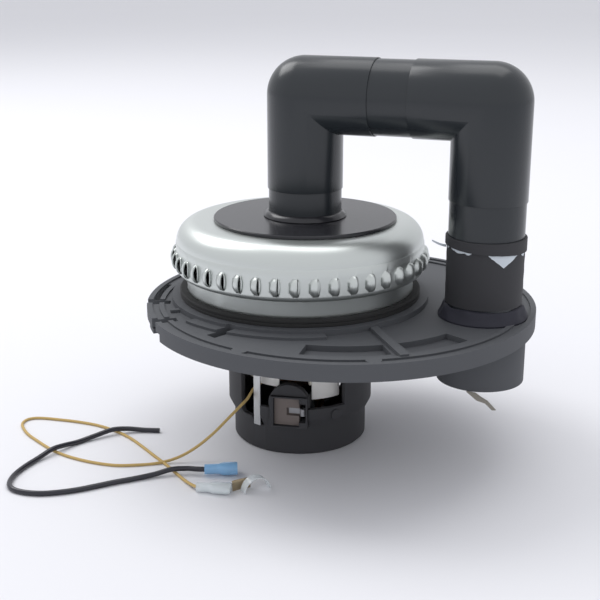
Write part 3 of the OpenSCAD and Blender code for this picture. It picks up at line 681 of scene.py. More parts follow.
class Shaping:
    """Mesh operations that every sub-assembly uses."""

    @staticmethod
    def line(bm: bmesh.types.BMesh, points: Iterable[Point3], closed: bool = False) -> list:
        """Adds a chain of edges.

        Args:
            bm: the mesh to add to.
            points: the chain's points, in millimetres.
            closed: whether the last point joins the first.

        Returns:
            The chain's vertices and edges.
        """
        verts = [bm.verts.new(Vector(p) * MM) for p in points]
        pairs = list(zip(verts, verts[1:])) + ([(verts[-1], verts[0])] if closed else [])
        return verts + [bm.edges.new(p) for p in pairs]

    @staticmethod
    def turned(
        profile: Sequence[Point], centre: Point3 = (0, 0, 0), steps: int = 96, closed: bool = True
    ) -> bmesh.types.BMesh:
        """Spins a profile round a vertical axis.

        Args:
            profile: points of radius and height, in millimetres.
            centre: a point on the axis, in millimetres.
            steps: how many faces go round.
            closed: whether the profile is a closed outline.

        Returns:
            The turned mesh.
        """
        bm = bmesh.new()
        chain = Shaping.line(
            bm, [(centre[0] + r, centre[1], centre[2] + z) for r, z in profile], closed
        )
        bmesh.ops.spin(
            bm, geom=chain, cent=Vector(centre) * MM, axis=(0, 0, 1), angle=math.tau,
            steps=steps, use_merge=True,
        )
        Shaping.tidy(bm)
        return bm

    @staticmethod
    def tidy(bm: bmesh.types.BMesh, gap: float = 0.002) -> None:
        """Merges doubles and turns every face outwards.

        Args:
            bm: the mesh.
            gap: the largest distance that is merged, in millimetres.
        """
        bmesh.ops.remove_doubles(bm, verts=bm.verts, dist=gap * MM)
        bmesh.ops.recalc_face_normals(bm, faces=bm.faces)

    @staticmethod
    def soften(bm: bmesh.types.BMesh, width: float, angle: float = 28, segments: int = 2) -> None:
        """Rounds every edge that is sharper than an angle.

        Args:
            bm: the mesh.
            width: the bevel's width, in millimetres.
            angle: the angle in degrees.
            segments: how many faces the bevel has across.
        """
        sharp = [
            e for e in bm.edges if e.is_manifold and e.calc_face_angle(0) > math.radians(angle)
        ]
        if sharp:
            bmesh.ops.bevel(
                bm, geom=sharp, offset=width * MM, offset_type="OFFSET", affect="EDGES",
                segments=segments, profile=0.5, material=-1, clamp_overlap=True,
            )

    @staticmethod
    def rough_up(
        bm: bmesh.types.BMesh, depth: float, scale: float, keep: Callable[[Vector], float] = lambda p: 1
    ) -> None:
        """Moves each vertex along its normal by smooth noise.

        Args:
            bm: the mesh.
            depth: the largest move, in millimetres.
            scale: the noise's scale, per metre.
            keep: gives the share of the move at a place.
        """
        bm.normal_update()
        for vert in bm.verts:
            amount = noise.noise(vert.co * scale) * depth * MM * keep(vert.co)
            vert.co += vert.normal * amount

    @staticmethod
    def from_node(name: str) -> bmesh.types.BMesh:
        """Returns a merged copy of a CAD node's mesh with its flat faces joined.

        Args:
            name: the node's name.
        """
        bm = bmesh.new()
        bm.from_mesh(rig.load_nodes[name].data)
        bmesh.ops.remove_doubles(bm, verts=bm.verts, dist=0.001 * MM)
        bmesh.ops.dissolve_limit(
            bm, angle_limit=math.radians(0.6), verts=bm.verts, edges=bm.edges
        )
        return bm


@dataclass
class Piece:
    """A finished mesh on its way into the scene."""

    name: str
    finish: Finish
    body: str = "stator"
    replaces: tuple[str, ...] = ()
    smooth: float = 32.0

    def place(self, bm: bmesh.types.BMesh) -> bpy.types.Object:
        """Turns a bmesh into an object that rides on its body.

        Args:
            bm: the mesh, which is freed.

        Returns:
            The object.
        """
        for edge in bm.edges:
            edge.smooth = not (
                edge.is_manifold and edge.calc_face_angle(0) > math.radians(self.smooth)
            )
        for face in bm.faces:
            face.smooth = True
        mesh = bpy.data.meshes.new(self.name)
        bm.to_mesh(mesh)
        bm.free()
        made = bpy.data.objects.new(self.name, mesh)
        bpy.context.scene.collection.objects.link(made)
        return self.dress(made)

    def dress(self, made: bpy.types.Object) -> bpy.types.Object:
        """Gives an object its finish, its body and the nodes that it stands for.

        Args:
            made: the object.

        Returns:
            The same object.
        """
        made.data.materials.append(self.finish.material())
        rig.ride(made, self.body)
        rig.slot(made, self.finish.name)
        if self.replaces:
            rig.replaces(made, *self.replaces)
        LOG.info("%s: %d polygons", self.name, len(getattr(made.data, "polygons", ())))
        return made


# ---------- stage ----------


@dataclass
class Studio:
    """Camera, floor, backdrop and lights."""

    eye: Point3 = (209.1, -574.4, 266.3)
    look: Point3 = (-0.327, 0.898, -0.294)
    lens: float = 67.7
    floor_colour: Colour = (0.76, 0.76, 0.785)
    lamps: tuple[tuple[str, Point3, Point3, float, float], ...] = (
        ("key", (-1500, 500, 1900), (40, 0, 60), 1300, 21.0),
        ("top", (100, 700, 2200), (40, 0, 60), 1500, 12.0),
    )

    def build(self) -> None:
        """Makes the camera, the floor, the lamps and the world."""
        scene = bpy.context.scene
        scene.view_settings.view_transform = "Standard"
        camera = bpy.data.objects.new("camera", bpy.data.cameras.new("camera"))
        scene.collection.objects.link(camera)
        camera.data.lens = self.lens
        camera.data.sensor_width = 36
        camera.location = Vector(self.eye) * MM
        camera.rotation_mode = "QUATERNION"
        camera.rotation_quaternion = Vector(self.look).to_track_quat("-Z", "Y")
        scene.camera = camera
        self.floor()
        for name, place, aim, size, power in self.lamps:
            self.lamp(name, place, aim, size, power)
        self.world()

    def floor(self) -> None:
        """Makes the pale floor."""
        bm = bmesh.new()
        bmesh.ops.create_grid(bm, x_segments=4, y_segments=4, size=60)
        mesh = bpy.data.meshes.new("floor")
        bm.to_mesh(mesh)
        bm.free()
        floor = bpy.data.objects.new("floor", mesh)
        bpy.context.scene.collection.objects.link(floor)
        material = bpy.data.materials.new("floor")
        material.use_nodes = True
        graph = Graph(material.node_tree)
        shader = material.node_tree.nodes["Principled BSDF"]
        place = graph.add("TexCoord").outputs["Object"]
        clouds = graph.add("TexNoise")
        clouds.inputs["Scale"].default_value = 1.2
        graph.join(place, clouds.inputs["Vector"])
        graph.join(
            graph.mix(clouds.outputs["Fac"], self.floor_colour, tuple(c * 1.03 for c in self.floor_colour)),
            shader.inputs["Base Color"],
        )
        shader.inputs["Roughness"].default_value = 0.85
        shader.inputs["Specular IOR Level"].default_value = 0.2
        mesh.materials.append(material)
        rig.stage(floor)

    def lamp(self, name: str, place: Point3, aim: Point3, size: float, power: float) -> None:
        """Adds a square soft lamp.

        Args:
            name: the lamp's name.
            place: where it hangs, in millimetres.
            aim: the point that it faces, in millimetres.
            size: its width, in millimetres.
            power: its power in watts.
        """
        data = bpy.data.lights.new(name, "AREA")
        data.shape = "SQUARE"
        data.size = size * MM
        data.energy = power
        made = bpy.data.objects.new(name, data)
        bpy.context.scene.collection.objects.link(made)
        made.location = Vector(place) * MM
        made.rotation_mode = "QUATERNION"
        made.rotation_quaternion = (Vector(aim) - Vector(place)).to_track_quat("-Z", "Y")

    def world(self) -> None:
        """Makes a plain grey world that camera and transmission rays see as the pale backdrop."""
        world = bpy.data.worlds.new("studio")
        bpy.context.scene.world = world
        world.use_nodes = True
        world.node_tree.nodes.clear()
        graph = Graph(world.node_tree)
        rays = graph.add("LightPath")
        seen = graph.combine("MAXIMUM", rays.outputs["Is Camera Ray"], rays.outputs["Is Transmission Ray"])
        plain = graph.add("Background")
        plain.inputs["Color"].default_value = (0.95, 0.96, 1, 1)
        plain.inputs["Strength"].default_value = 0.86
        backdrop = graph.add("Background")
        backdrop.inputs["Color"].default_value = (0.78, 0.78, 0.81, 1)
        mix = graph.add("MixShader")
        graph.join(seen, mix.inputs[0])
        graph.join(plain.outputs[0], mix.inputs[1])
        graph.join(backdrop.outputs[0], mix.inputs[2])
        end = graph.add("OutputWorld")
        graph.join(mix.outputs[0], end.inputs["Surface"])


# ---------- leads and their terminals ----------


@dataclass
class Lead:
    """A loose lead: a round cord along listed points."""

    name: str
    finish: Finish
    diameter: float
    points: tuple[Point3, ...]
    far_end: str

    def curve(self) -> bpy.types.Object:
        """Returns the lead as a curve of one open spline."""
        data = bpy.data.curves.new(self.name, "CURVE")
        data.dimensions = "3D"
        data.bevel_depth = self.diameter / 2 * MM
        data.bevel_resolution = 4
        data.use_fill_caps = True
        dense = self.smooth()
        spline = data.splines.new("POLY")
        spline.points.add(len(dense) - 1)
        for slot, place in zip(spline.points, dense):
            slot.co = (*(place * MM), 1)
        made = bpy.data.objects.new(self.name, data)
        bpy.context.scene.collection.objects.link(made)
        return Piece(self.name, self.finish, replaces=(self.name,)).dress(made)

    def smooth(self, between: int = 6) -> list[Vector]:
        """Returns the points of one smooth line through the lead's points.

        Args:
            between: how many steps go between two points.
        """
        pts = [Vector(p) for p in self.points]
        pts = [pts[0] * 2 - pts[1], *pts, pts[-1] * 2 - pts[-2]]
        dense = []
        for a, b, c, d in zip(pts, pts[1:], pts[2:], pts[3:]):
            for k in range(between):
                t = k / between
                dense.append(
                    0.5 * (2 * b + (c - a) * t + (2 * a - 5 * b + 4 * c - d) * t * t
                           + (3 * b - 3 * c + d - a) * t ** 3)
                )
        return [*dense, pts[-2]]

    def length(self) -> float:
        """Returns the lead's length in metres."""
        dense = self.smooth()
        return sum((b - a).length for a, b in zip(dense, dense[1:])) * MM


@dataclass
class Leads:
    """The two leads and the terminals at their ends."""

    gold: Lead = field(default_factory=lambda: Lead(
        "gold_lead", Finishes.gold_sleeve, 1.6, (
            (-12.4, -29, 37.2), (-15.4, -33.2, 34.6), (-16.6, -38.8, 31), (-18.5, -43.5, 28.5),
            (-24, -49.5, 22), (-31, -55.5, 14), (-39, -61.5, 7), (-47, -67.5, 2.6),
            (-56, -74, 0.8), (-66, -80, 0.8), (-76, -84, 0.8), (-88, -85, 0.8),
            (-100, -84, 0.8), (-111, -81.5, 0.8), (-122, -77, 0.8), (-133, -71, 0.8),
            (-143, -65, 0.8), (-150, -59, 0.8), (-155, -53, 0.8), (-156, -47, 0.8),
            (-153, -43, 0.8), (-147, -41, 0.8), (-139, -40, 0.8), (-127, -39, 0.8),
            (-113, -39.5, 0.8), (-99, -43, 0.8), (-86, -49, 0.8), (-74, -57, 0.8),
            (-63, -65, 0.8), (-51, -73.5, 0.8), (-42, -80.5, 0.8), (-34, -87, 1),
            (-27, -92.5, 1.8), (-22, -95.8, 2.6),
        ), "connector"))
    black: Lead = field(default_factory=lambda: Lead(
        "black_lead", Finishes.lead_black, 2.8, (
            (-26, -77.3, 3.6), (-30, -78, 3.4), (-36, -79, 3.2), (-43, -82.5, 3.1),
            (-50, -88.5, 1.8), (-58, -96, 1.4), (-66, -103.5, 1.4), (-73, -111, 1.4),
            (-80, -118, 1.4), (-88, -124, 1.4), (-96, -128, 1.4), (-105, -129.5, 1.4),
            (-112, -128, 1.4), (-117, -123, 1.4), (-120, -114, 1.4), (-120.5, -103, 1.4),
            (-119, -92, 1.8), (-116.5, -82, 3.1), (-114, -74, 2.4), (-110, -65, 1.4),
            (-104, -55, 2.2), (-98, -46.5, 3.1), (-91, -41, 2.4), (-83, -37.5, 1.4),
            (-74, -35, 1.4),
        ), "bare"))
    blue_at: Point3 = (-26, -77.3, 3.6)
    blue_turn: float = 24
    clear_at: Point3 = (-22, -95.8, 2.6)
    clear_turn: float = 14
    tab_at: Point3 = (-4, -90.4, 0.1)
    clip_at: Point3 = (0.6, -87, 0.1)
    end_turn: float = 50

    def build(self) -> None:
        sleeves = [
            self.sleeve("blue_sleeve", Finishes.blue_nylon, self.blue_at, self.blue_turn,
                        2.7, 8.5, 6.4, 6, 17.5),
            self.sleeve("clear_sleeve", Finishes.clear_nylon, self.clear_at, self.clear_turn,
                        2.5, 9, 5, 5, 18),
        ]
        ends = [self.tab(), self.clip()]
        gold, black = self.gold.curve(), self.black.curve()
        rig.cord(
            gold, exit=tuple(c * MM for c in self.gold.points[0]), length=self.gold.length(),
            diameter=self.gold.diameter * MM, far_end=self.gold.far_end, stiffness="medium",
            lay="loose", with_pieces=[*sleeves, *ends],
        )
        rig.cord(
            black, exit=tuple(c * MM for c in self.black.points[0]), length=self.black.length(),
            diameter=self.black.diameter * MM, far_end=self.black.far_end, stiffness="medium",
            lay="loose",
        )

    def sleeve(
        self, name: str, finish: Finish, at: Point3, turn: float,
        neck: float, wide: float, high: float, neck_l: float, length: float,
    ) -> bpy.types.Object:
        """Makes the nylon sleeve of a crimp terminal: a round neck that spreads into a flat mouth.

        Args:
            name: the piece's and the replaced node's name.
            finish: the nylon.
            at: the neck's end.
            turn: its direction on the floor, in degrees.
            neck: the neck's radius.
            wide: the mouth's width.
            high: the mouth's height.
            neck_l: the neck's length.
            length: the whole length.

        Returns:
            The sleeve.
        """
        bm = bmesh.new()
        made = bmesh.ops.create_circle(bm, segments=32, radius=neck * MM)
        ring = made["verts"]
        bmesh.ops.rotate(bm, verts=ring, cent=(0, 0, 0), matrix=Matrix.Rotation(math.pi / 2, 3, "Y"))
        edges = [e for e in bm.edges]
        stations = (
            (0.25, 1.0, 1.0), (neck_l * 0.6, 1.0, 1.0), (neck_l, 1.0, 1.0), (neck_l + 1.5, 1.12, 1.0),
            (neck_l + 3, 1.0, 0), (neck_l + 4.5, 1.0, 0), (length - 1, 1.0, 0), (length, 0.96, 0),
        )
        last = 0.0
        for x, swell, round_share in stations:
            grown = bmesh.ops.extrude_edge_only(bm, edges=edges)["geom"]
            verts = [g for g in grown if isinstance(g, bmesh.types.BMVert)]
            edges = [g for g in grown if isinstance(g, bmesh.types.BMEdge)]
            for vert in verts:
                around = math.atan2(vert.co.z, vert.co.y)
                vert.co.x += (x - last) * MM
                if not round_share:
                    flat = (wide - high) / 2
                    share = min(1.0, (x - neck_l - 0.5) / 4)
                    y = math.cos(around) * high / 2 + math.copysign(flat, math.cos(around)) * abs(
                        math.cos(around)) ** 0.4
                    z = math.sin(around) * high / 2
                    vert.co.y = (neck * math.cos(around) * (1 - share) + y * share) * MM * swell
                    vert.co.z = (neck * math.sin(around) * (1 - share) + z * share) * MM * swell
                elif swell != 1.0:
                    vert.co.y *= swell
            last = x
        bmesh.ops.recalc_face_normals(bm, faces=bm.faces)
        bmesh.ops.solidify(bm, geom=bm.faces[:], thickness=0.55 * MM)
        Shaping.tidy(bm)
        bmesh.ops.transform(
            bm, verts=bm.verts,
            matrix=Matrix.Translation(Vector(at) * MM) @ Matrix.Rotation(math.radians(turn), 4, "Z"),
        )
        return Piece(name, finish, replaces=(name,)).place(bm)

    def tab(self) -> bpy.types.Object:
        """Returns the crimp's metal tab: a bent plate with rolled ears."""
        bm = bmesh.new()
        bmesh.ops.create_grid(
            bm, x_segments=14, y_segments=8, size=0.5,
            matrix=Matrix.Rotation(math.pi / 2, 4, "X"),
        )
        for vert in bm.verts:
            u, v = vert.co.x + 0.5, vert.co.z + 0.5
            curl = 1.6 * max(0.0, v - 0.72) ** 2 * 10
            vert.co = Vector((u * 10.3, 0.3 + curl * 0.4 + 0.25 * math.sin(u * 5), 0.2 + v * 5.9)) * MM
        bmesh.ops.recalc_face_normals(bm, faces=bm.faces)
        bmesh.ops.solidify(bm, geom=bm.faces[:], thickness=0.45 * MM)
        Shaping.tidy(bm)
        Shaping.soften(bm, 0.1, 50, 1)
        self.lay(bm, self.tab_at)
        return Piece("brass_tab", Finishes.tab_brass, replaces=("brass_tab",)).place(bm)

    def clip(self) -> bpy.types.Object:
        """Returns the clear bent clip: a strip bowed over from floor to floor."""
        bm = bmesh.new()
        arc = [
            (6 + 7.6 * math.cos(a), 0.6, 7.6 * math.sin(a))
            for a in (math.radians(2 + 176 * k / 20) for k in range(21))
        ]
        chain = Shaping.line(bm, arc)
        grown = bmesh.ops.extrude_edge_only(
            bm, edges=[c for c in chain if isinstance(c, bmesh.types.BMEdge)]
        )["geom"]
        moved = [g for g in grown if isinstance(g, bmesh.types.BMVert)]
        for vert in moved:
            vert.co.y -= 5.0 * MM
            vert.co.z *= 0.97
        bmesh.ops.subdivide_edges(
            bm, edges=[e for e in bm.edges if abs(e.verts[0].co.y - e.verts[1].co.y) > MM], cuts=3
        )
        bmesh.ops.recalc_face_normals(bm, faces=bm.faces)
        bmesh.ops.solidify(bm, geom=bm.faces[:], thickness=0.5 * MM)
        Shaping.tidy(bm)
        Shaping.soften(bm, 0.12, 50, 1)
        self.lay(bm, self.clip_at)
        return Piece("clear_clip", Finishes.clear_nylon, replaces=("clear_clip",)).place(bm)

    def lay(self, bm: bmesh.types.BMesh, at: Point3) -> None:
        """Turns and moves a terminal's piece to its place on the floor.

        Args:
            bm: the piece's mesh.
            at: its place.
        """
        bmesh.ops.transform(
            bm, verts=bm.verts,
            matrix=Matrix.Translation(Vector(at) * MM)
            @ Matrix.Rotation(math.radians(self.end_turn), 4, "Z"),
        )


# ---------- fan shell ----------


@dataclass
class FanShell:
    """The louvred metal shell over the fan."""

    radius: float = 69
    foot_z: float = 97.5
    top_z: float = 126
    shoulder: float = 11.5
    roll: float = 3
    bead: float = 0.4
    eye: float = 20
    sheet: float = 0.9
    louvres: int = 43
    louvre_z: float = 105.5
    louvre_h: float = 9.8
    louvre_out: float = 3.05
    louvre_gap: float = 1.5
    crease_z: float = 114
    neck_r: float = 63.2
    neck_z: float = 85.6
    columns: int = 16
    hood_columns: int = 7

    def profile(self) -> list[Point]:
        """Returns the outer face's outline from the foot to the eye."""
        r, roll, step = self.radius, self.roll, 18
        points: list[Point] = [
            (self.neck_r, self.neck_z), (self.neck_r, self.neck_z + 3.5), (self.neck_r, self.neck_z + 8),
            (self.neck_r + 0.3, self.foot_z - 0.6), (self.neck_r + 0.9, self.foot_z - 0.05),
            (r - roll - 0.6, self.foot_z + 0.02),
        ]
        points += [
            (r - roll + roll * math.cos(a), self.foot_z + roll + roll * math.sin(a))
            for a in (math.radians(-80 + 16 * k) for k in range(6))
        ]
        low, high = self.louvre_z - self.louvre_h / 2, self.louvre_z + self.louvre_h / 2
        rows = 14
        points += [(r, low + (high - low) * k / rows) for k in range(rows + 1)]
        points += [(r, self.crease_z), (r - self.bead, self.crease_z + 0.6)]
        cx, cz = r - self.bead - self.shoulder, self.top_z - self.shoulder
        points += [
            (cx + self.shoulder * math.cos(a), cz + self.shoulder * math.sin(a))
            for a in (math.radians(90 * k / step) for k in range(step + 1))
        ]
        points += [(52, self.top_z), (36, self.top_z), (22, self.top_z), (21, self.top_z - 0.15),
                   (20.3, self.top_z - 0.8), (20, self.top_z - 2), (20, 119.2)]
        return points

    def build(self) -> bpy.types.Object:
        """Returns the shell, with each louvre pushed out of the sheet."""
        bm = bmesh.new()
        pitch = math.tau / self.louvres
        chain = Shaping.line(bm, [(r, 0, z) for r, z in self.profile()])
        bmesh.ops.spin(
            bm, geom=chain, cent=(0, 0, 0), axis=(0, 0, 1), angle=pitch, steps=self.columns,
            use_merge=False,
        )
        bmesh.ops.remove_doubles(bm, verts=bm.verts, dist=0.001 * MM)
        self.slit(bm, pitch)
        self.push_out(bm, pitch)
        bmesh.ops.spin(
            bm, geom=bm.verts[:] + bm.edges[:] + bm.faces[:], cent=(0, 0, 0), axis=(0, 0, 1),
            angle=math.tau - pitch, steps=self.louvres - 1, use_duplicate=True,
        )
        bmesh.ops.rotate(
            bm, verts=bm.verts, cent=(0, 0, 0),
            matrix=Matrix.Rotation(-pitch * (self.hood_columns + 1) / self.columns + pitch / 2, 3, "Z"),
        )
        self.join_seams(bm, pitch)
        bmesh.ops.recalc_face_normals(bm, faces=bm.faces)
        top = max(bm.faces, key=lambda f: f.calc_center_median().z)
        if top.normal.z < 0:
            bmesh.ops.reverse_faces(bm, faces=bm.faces)
        made = Piece("fan_shell_skin", Finishes.shell_metal, replaces=("fan_shell",), smooth=40).place(bm)
        wall = made.modifiers.new("wall", "SOLIDIFY")
        wall.thickness = self.sheet * MM
        wall.offset = -1
        return made

    def column(self, place: Vector, pitch: float) -> float:
        """Returns how many columns a place lies from the panel's start.

        Args:
            place: a point of the panel.
            pitch: the panel's angle.
        """
        return math.atan2(place.y, place.x) / pitch * self.columns

    def slit(self, bm: bmesh.types.BMesh, pitch: float) -> None:
        """Cuts the sheet along the louvre's open side.

        Args:
            bm: the panel.
            pitch: the panel's angle.
        """
        edge_at = self.hood_columns + 1
        half = self.louvre_h / 2 * MM
        cut = [
            e for e in bm.edges
            if all(
                abs(self.column(v.co, pitch) - edge_at) < 0.1
                and abs(v.co.z - self.louvre_z * MM) < half + 0.0001
                and v.co.xy.length > (self.radius - 0.5) * MM
                for v in e.verts
            )
        ]
        bmesh.ops.split_edges(bm, edges=cut)

    def push_out(self, bm: bmesh.types.BMesh, pitch: float) -> None:
        """Pushes the hood out of the sheet, highest at its open side.

        Args:
            bm: the panel.
            pitch: the panel's angle.
        """
        half = self.louvre_h / 2 * MM
        for vert in bm.verts:
            at = self.column(vert.co, pitch)
            high = (vert.co.z - self.louvre_z * MM) / half
            if vert.co.xy.length < (self.radius - 0.5) * MM or abs(high) >= 1 or at > self.hood_columns + 1.1:
                continue
            middle = sum((f.calc_center_median() for f in vert.link_faces), Vector()) / len(vert.link_faces)
            out = Vector((vert.co.x, vert.co.y, 0)).normalized()
            if at > self.hood_columns + 0.9 and self.column(middle, pitch) > at:
                aside = out.cross(Vector((0, 0, 1))) * -1
                vert.co += aside * self.louvre_gap * math.sqrt(max(0.0, 1 - high * high)) * MM
                continue
            across = max(0.0, min(1.0, (at - 1) / self.hood_columns))
            rise = math.sqrt(max(0.0, 1 - high * high - (1 - across) ** 2))
            vert.co += out * rise * self.louvre_out * MM

    def join_seams(self, bm: bmesh.types.BMesh, pitch: float) -> None:
        """Merges the panels where they meet, and nowhere else.

        Args:
            bm: the full ring of panels.
            pitch: a panel's angle.
        """
        start = (self.hood_columns + 1) / self.columns - 0.5
        seam = [
            v for v in bm.verts
            if v.is_boundary
            and abs((math.atan2(v.co.y, v.co.x) / pitch + start + 0.5) % 1 - 0.5) < 0.02
        ]
        bmesh.ops.remove_doubles(bm, verts=seam, dist=0.01 * MM)


# ---------- ring, disc and pipe ----------


@dataclass
class RubberRing:
    """The rubber ring that holds the shell's neck in the plate."""

    outer: float = 67.3
    inner: float = 61.2
    neck: float = 63.25
    low: float = 84
    high: float = 88

    def build(self) -> bpy.types.Object:
        """Returns the ring, a lip round the neck's foot."""
        z, r = self.low, self.outer
        bm = Shaping.turned([
            (self.inner, z), (r - 0.3, z), (r, z + 0.4), (r, z + 1.6), (r - 0.4, z + 2),
            (r, z + 2.4), (r, z + 3.3), (r - 0.7, self.high), (self.neck + 0.1, self.high),
            (self.neck, z + 3.8), (self.neck, z + 1.48), (self.inner, z + 1.48),
        ], steps=160)
        Shaping.rough_up(bm, 0.2, 70, lambda p: 1.0 if p.xy.length > (self.neck + 1) * MM else 0.0)
        return Piece("rubber_ring_moulded", Finishes.rubber, replaces=("rubber_ring",)).place(bm)


@dataclass
class PipeArch:
    """The U of pipe with its disc, bead, tape, film and mastic."""

    inlet_x: float = 3
    port_x: float = 104
    cross_z: float = 194
    radius: float = 20
    bore: float = 17.6
    elbow: float = 20.6
    arm: float = 40
    drop: float = 50.5
    socket: float = 20
    disc_r: float = 50.5
    disc_z: float = 126
    disc_t: float = 2
    deck: float = 81
    lap_z: float = 119.4

    def build(self) -> None:
        """Makes every piece of the arch."""
        self.disc()
        self.legs()
        self.elbows()
        self.bead()
        self.tape()
        self.film()
        self.mastic()
        self.coupling()

    def disc(self) -> bpy.types.Object:
        """Returns the glossy disc glued on the shell."""
        z = self.disc_z
        bm = Shaping.turned([
            (20.05, z + 0.02), (self.disc_r - 0.3, z + 0.02), (self.disc_r, z + 0.4),
            (self.disc_r, z + self.disc_t - 0.5), (self.disc_r - 0.5, z + self.disc_t),
            (38, z + self.disc_t), (27, z + self.disc_t), (20.05, z + self.disc_t),
        ], (self.inlet_x, 0, 0), 160)
        return Piece("inlet_disc_glossy", Finishes.gloss_black, replaces=("inlet_disc",)).place(bm)

    def tube(self, length: float) -> bmesh.types.BMesh:
        """Returns a pipe of a length, standing on the origin, with rounded ends.

        Args:
            length: the pipe's length.
        """
        r, b, n = self.radius, self.bore, 8
        wall = [(r, 0.4 + (length - 0.8) * k / n) for k in range(n + 1)]
        return Shaping.turned(
            [(b, 0.3), (b + 0.3, 0), (r - 0.4, 0), *wall, (r - 0.4, length), (b + 0.3, length),
             (b, length - 0.3)], steps=128,
        )

    def legs(self) -> None:
        """Makes the two legs and the cross pipe."""
        top = self.cross_z - self.drop + self.socket
        for name, x, low in (("inlet_leg", self.inlet_x, 126.0), ("port_leg", self.port_x, 62.0)):
            bm = self.tube(top - low)
            bmesh.ops.translate(bm, verts=bm.verts, vec=Vector((x, 0, low)) * MM)
            Piece(name + "_pipe", Finishes.pipe_plastic, replaces=(name,)).place(bm)
        start = self.inlet_x + self.arm - self.socket
        bm = self.tube(self.port_x - self.inlet_x - 2 * (self.arm - self.socket))
        bmesh.ops.transform(
            bm, verts=bm.verts,
            matrix=Matrix.Translation(Vector((start, 0, self.cross_z)) * MM)
            @ Matrix.Rotation(math.pi / 2, 4, "Y"),
        )
        Piece("cross_pipe_run", Finishes.pipe_plastic, replaces=("cross_pipe",)).place(bm)

    def elbows(self) -> None:
        """Makes the two square-cornered elbows."""
        for name, x, turn in (("inlet_elbow", self.inlet_x, 1), ("port_elbow", self.port_x, -1)):
            bm = Shaping.from_node(name)
            Shaping.soften(bm, 0.35, 30, 2)
            Piece(name + "_cast", Finishes.pipe_plastic, replaces=(name,), smooth=40).place(bm)

    def bead(self) -> bpy.types.Object:
        """Returns the hand-laid bead at the pipe's foot."""
        z = self.disc_z + self.disc_t
        bm = Shaping.turned([
            (20.05, z + 0.01), (22.6, z + 0.01), (22.9, z + 0.4), (22.3, z + 1.5), (21.4, z + 2.4),
            (20.7, z + 2.9), (20.05, z + 3.1),
        ], (self.inlet_x, 0, 0), 140)
        Shaping.rough_up(bm, 0.5, 160, lambda p: min(1.0, max(0.0, (p.z / MM - z) / 1.5)))
        return Piece("pipe_foot_sealant", Finishes.sealant, replaces=("pipe_foot_bead",)).place(bm)

    def tape(self) -> bpy.types.Object:
        """Returns the wound tape, with the steps of its turns."""
        low, high, r = self.deck + 8, self.deck + 44, self.radius
        edge = [(r + 0.5 - 0.14 * (k % 2), low + 0.2 + (self.lap_z - low - 0.6) * k / 7) for k in range(8)]
        bm = Shaping.turned([
            (r + 0.06, low), *edge, (r + 0.5, self.lap_z + 2.7), (r + 0.93, self.lap_z + 2.7),
            (r + 0.93, self.lap_z), (r + 1.34, self.lap_z), (r + 1.34, high - 0.3), (r + 1.1, high),
            (r + 0.06, high),
        ], (self.port_x, 0, 0), 128)
        for vert in bm.verts:
            if abs(vert.co.z / MM - self.lap_z) < 0.1:
                vert.co.z += self.slant(vert.co)
        return Piece("tape_wound", Finishes.tape, replaces=("black_tape",)).place(bm)

    def slant(self, place: Vector) -> float:
        """Returns how far the slanting edge of the tape's last turn lies above its middle.

        Args:
            place: a point near the edge.
        """
        return -0.06 * (place.x - self.port_x * MM) + 0.2 * noise.noise(place * 300) * MM

    def film(self) -> bpy.types.Object:
        """Returns the torn film round the port's leg."""
        tears = ((-52, 28, 7.4), (-122, 36, 2.7), (-104, 6, 1.1), (170, 12, 4.0), (-12, 12, 3.0), (-150, 7, 1.8))
        top = self.lap_z + 2.5
        bm = bmesh.new()
        chain = Shaping.line(
            bm, [(self.port_x + self.radius + 0.62, 0, self.lap_z + 0.9 + 1.6 * k / 5) for k in range(6)]
        )
        bmesh.ops.spin(
            bm, geom=chain, cent=Vector((self.port_x, 0, 0)) * MM, axis=(0, 0, 1), angle=math.tau,
            steps=180, use_merge=True,
        )
        Shaping.tidy(bm)
        middle = Vector((self.port_x, 0)) * MM
        for vert in bm.verts:
            out = vert.co.xy - middle
            around = math.degrees(math.atan2(out.y, out.x))
            share = (top - vert.co.z / MM) / 1.6
            drop = 0.0
            for at, wide, deep in tears:
                off = abs((around - at + 180) % 360 - 180) / wide
                drop += deep * max(0.0, 1 - off)
            jag = 0.5 * noise.noise(Vector((around * 0.35, 3, 0)))
            vert.co.z += self.slant(vert.co) - (drop + jag) * share * MM
            wave = 0.12 * (1 + noise.noise(Vector((around * 0.12, 0, 7)))) * share
            vert.co.xy = middle + out.normalized() * (self.radius + 0.6 + wave) * MM
        self.flap(bm)
        return Piece("torn_film_band", Finishes.pale_film, replaces=("torn_film",)).place(bm)

    def flap(self, bm: bmesh.types.BMesh) -> None:
        """Adds the loose end that stands off the pipe.

        Args:
            bm: the film's mesh.
        """
        made = bmesh.ops.create_grid(bm, x_segments=8, y_segments=4, size=0.5)["verts"]
        turn = Matrix.Rotation(math.radians(-172), 3, "Z")
        for vert in made:
            u, v = vert.co.x + 0.5, vert.co.y + 0.5
            wide = 1.5 * (1 - 0.45 * u)
            place = turn @ Vector((self.radius + 0.6 + 7.8 * u, 0.5 * math.sin(4 * u + v), 0))
            place += Vector((self.port_x, 0, self.lap_z - 2 + 2.6 * u ** 1.5 + wide * v))
            vert.co = place * MM

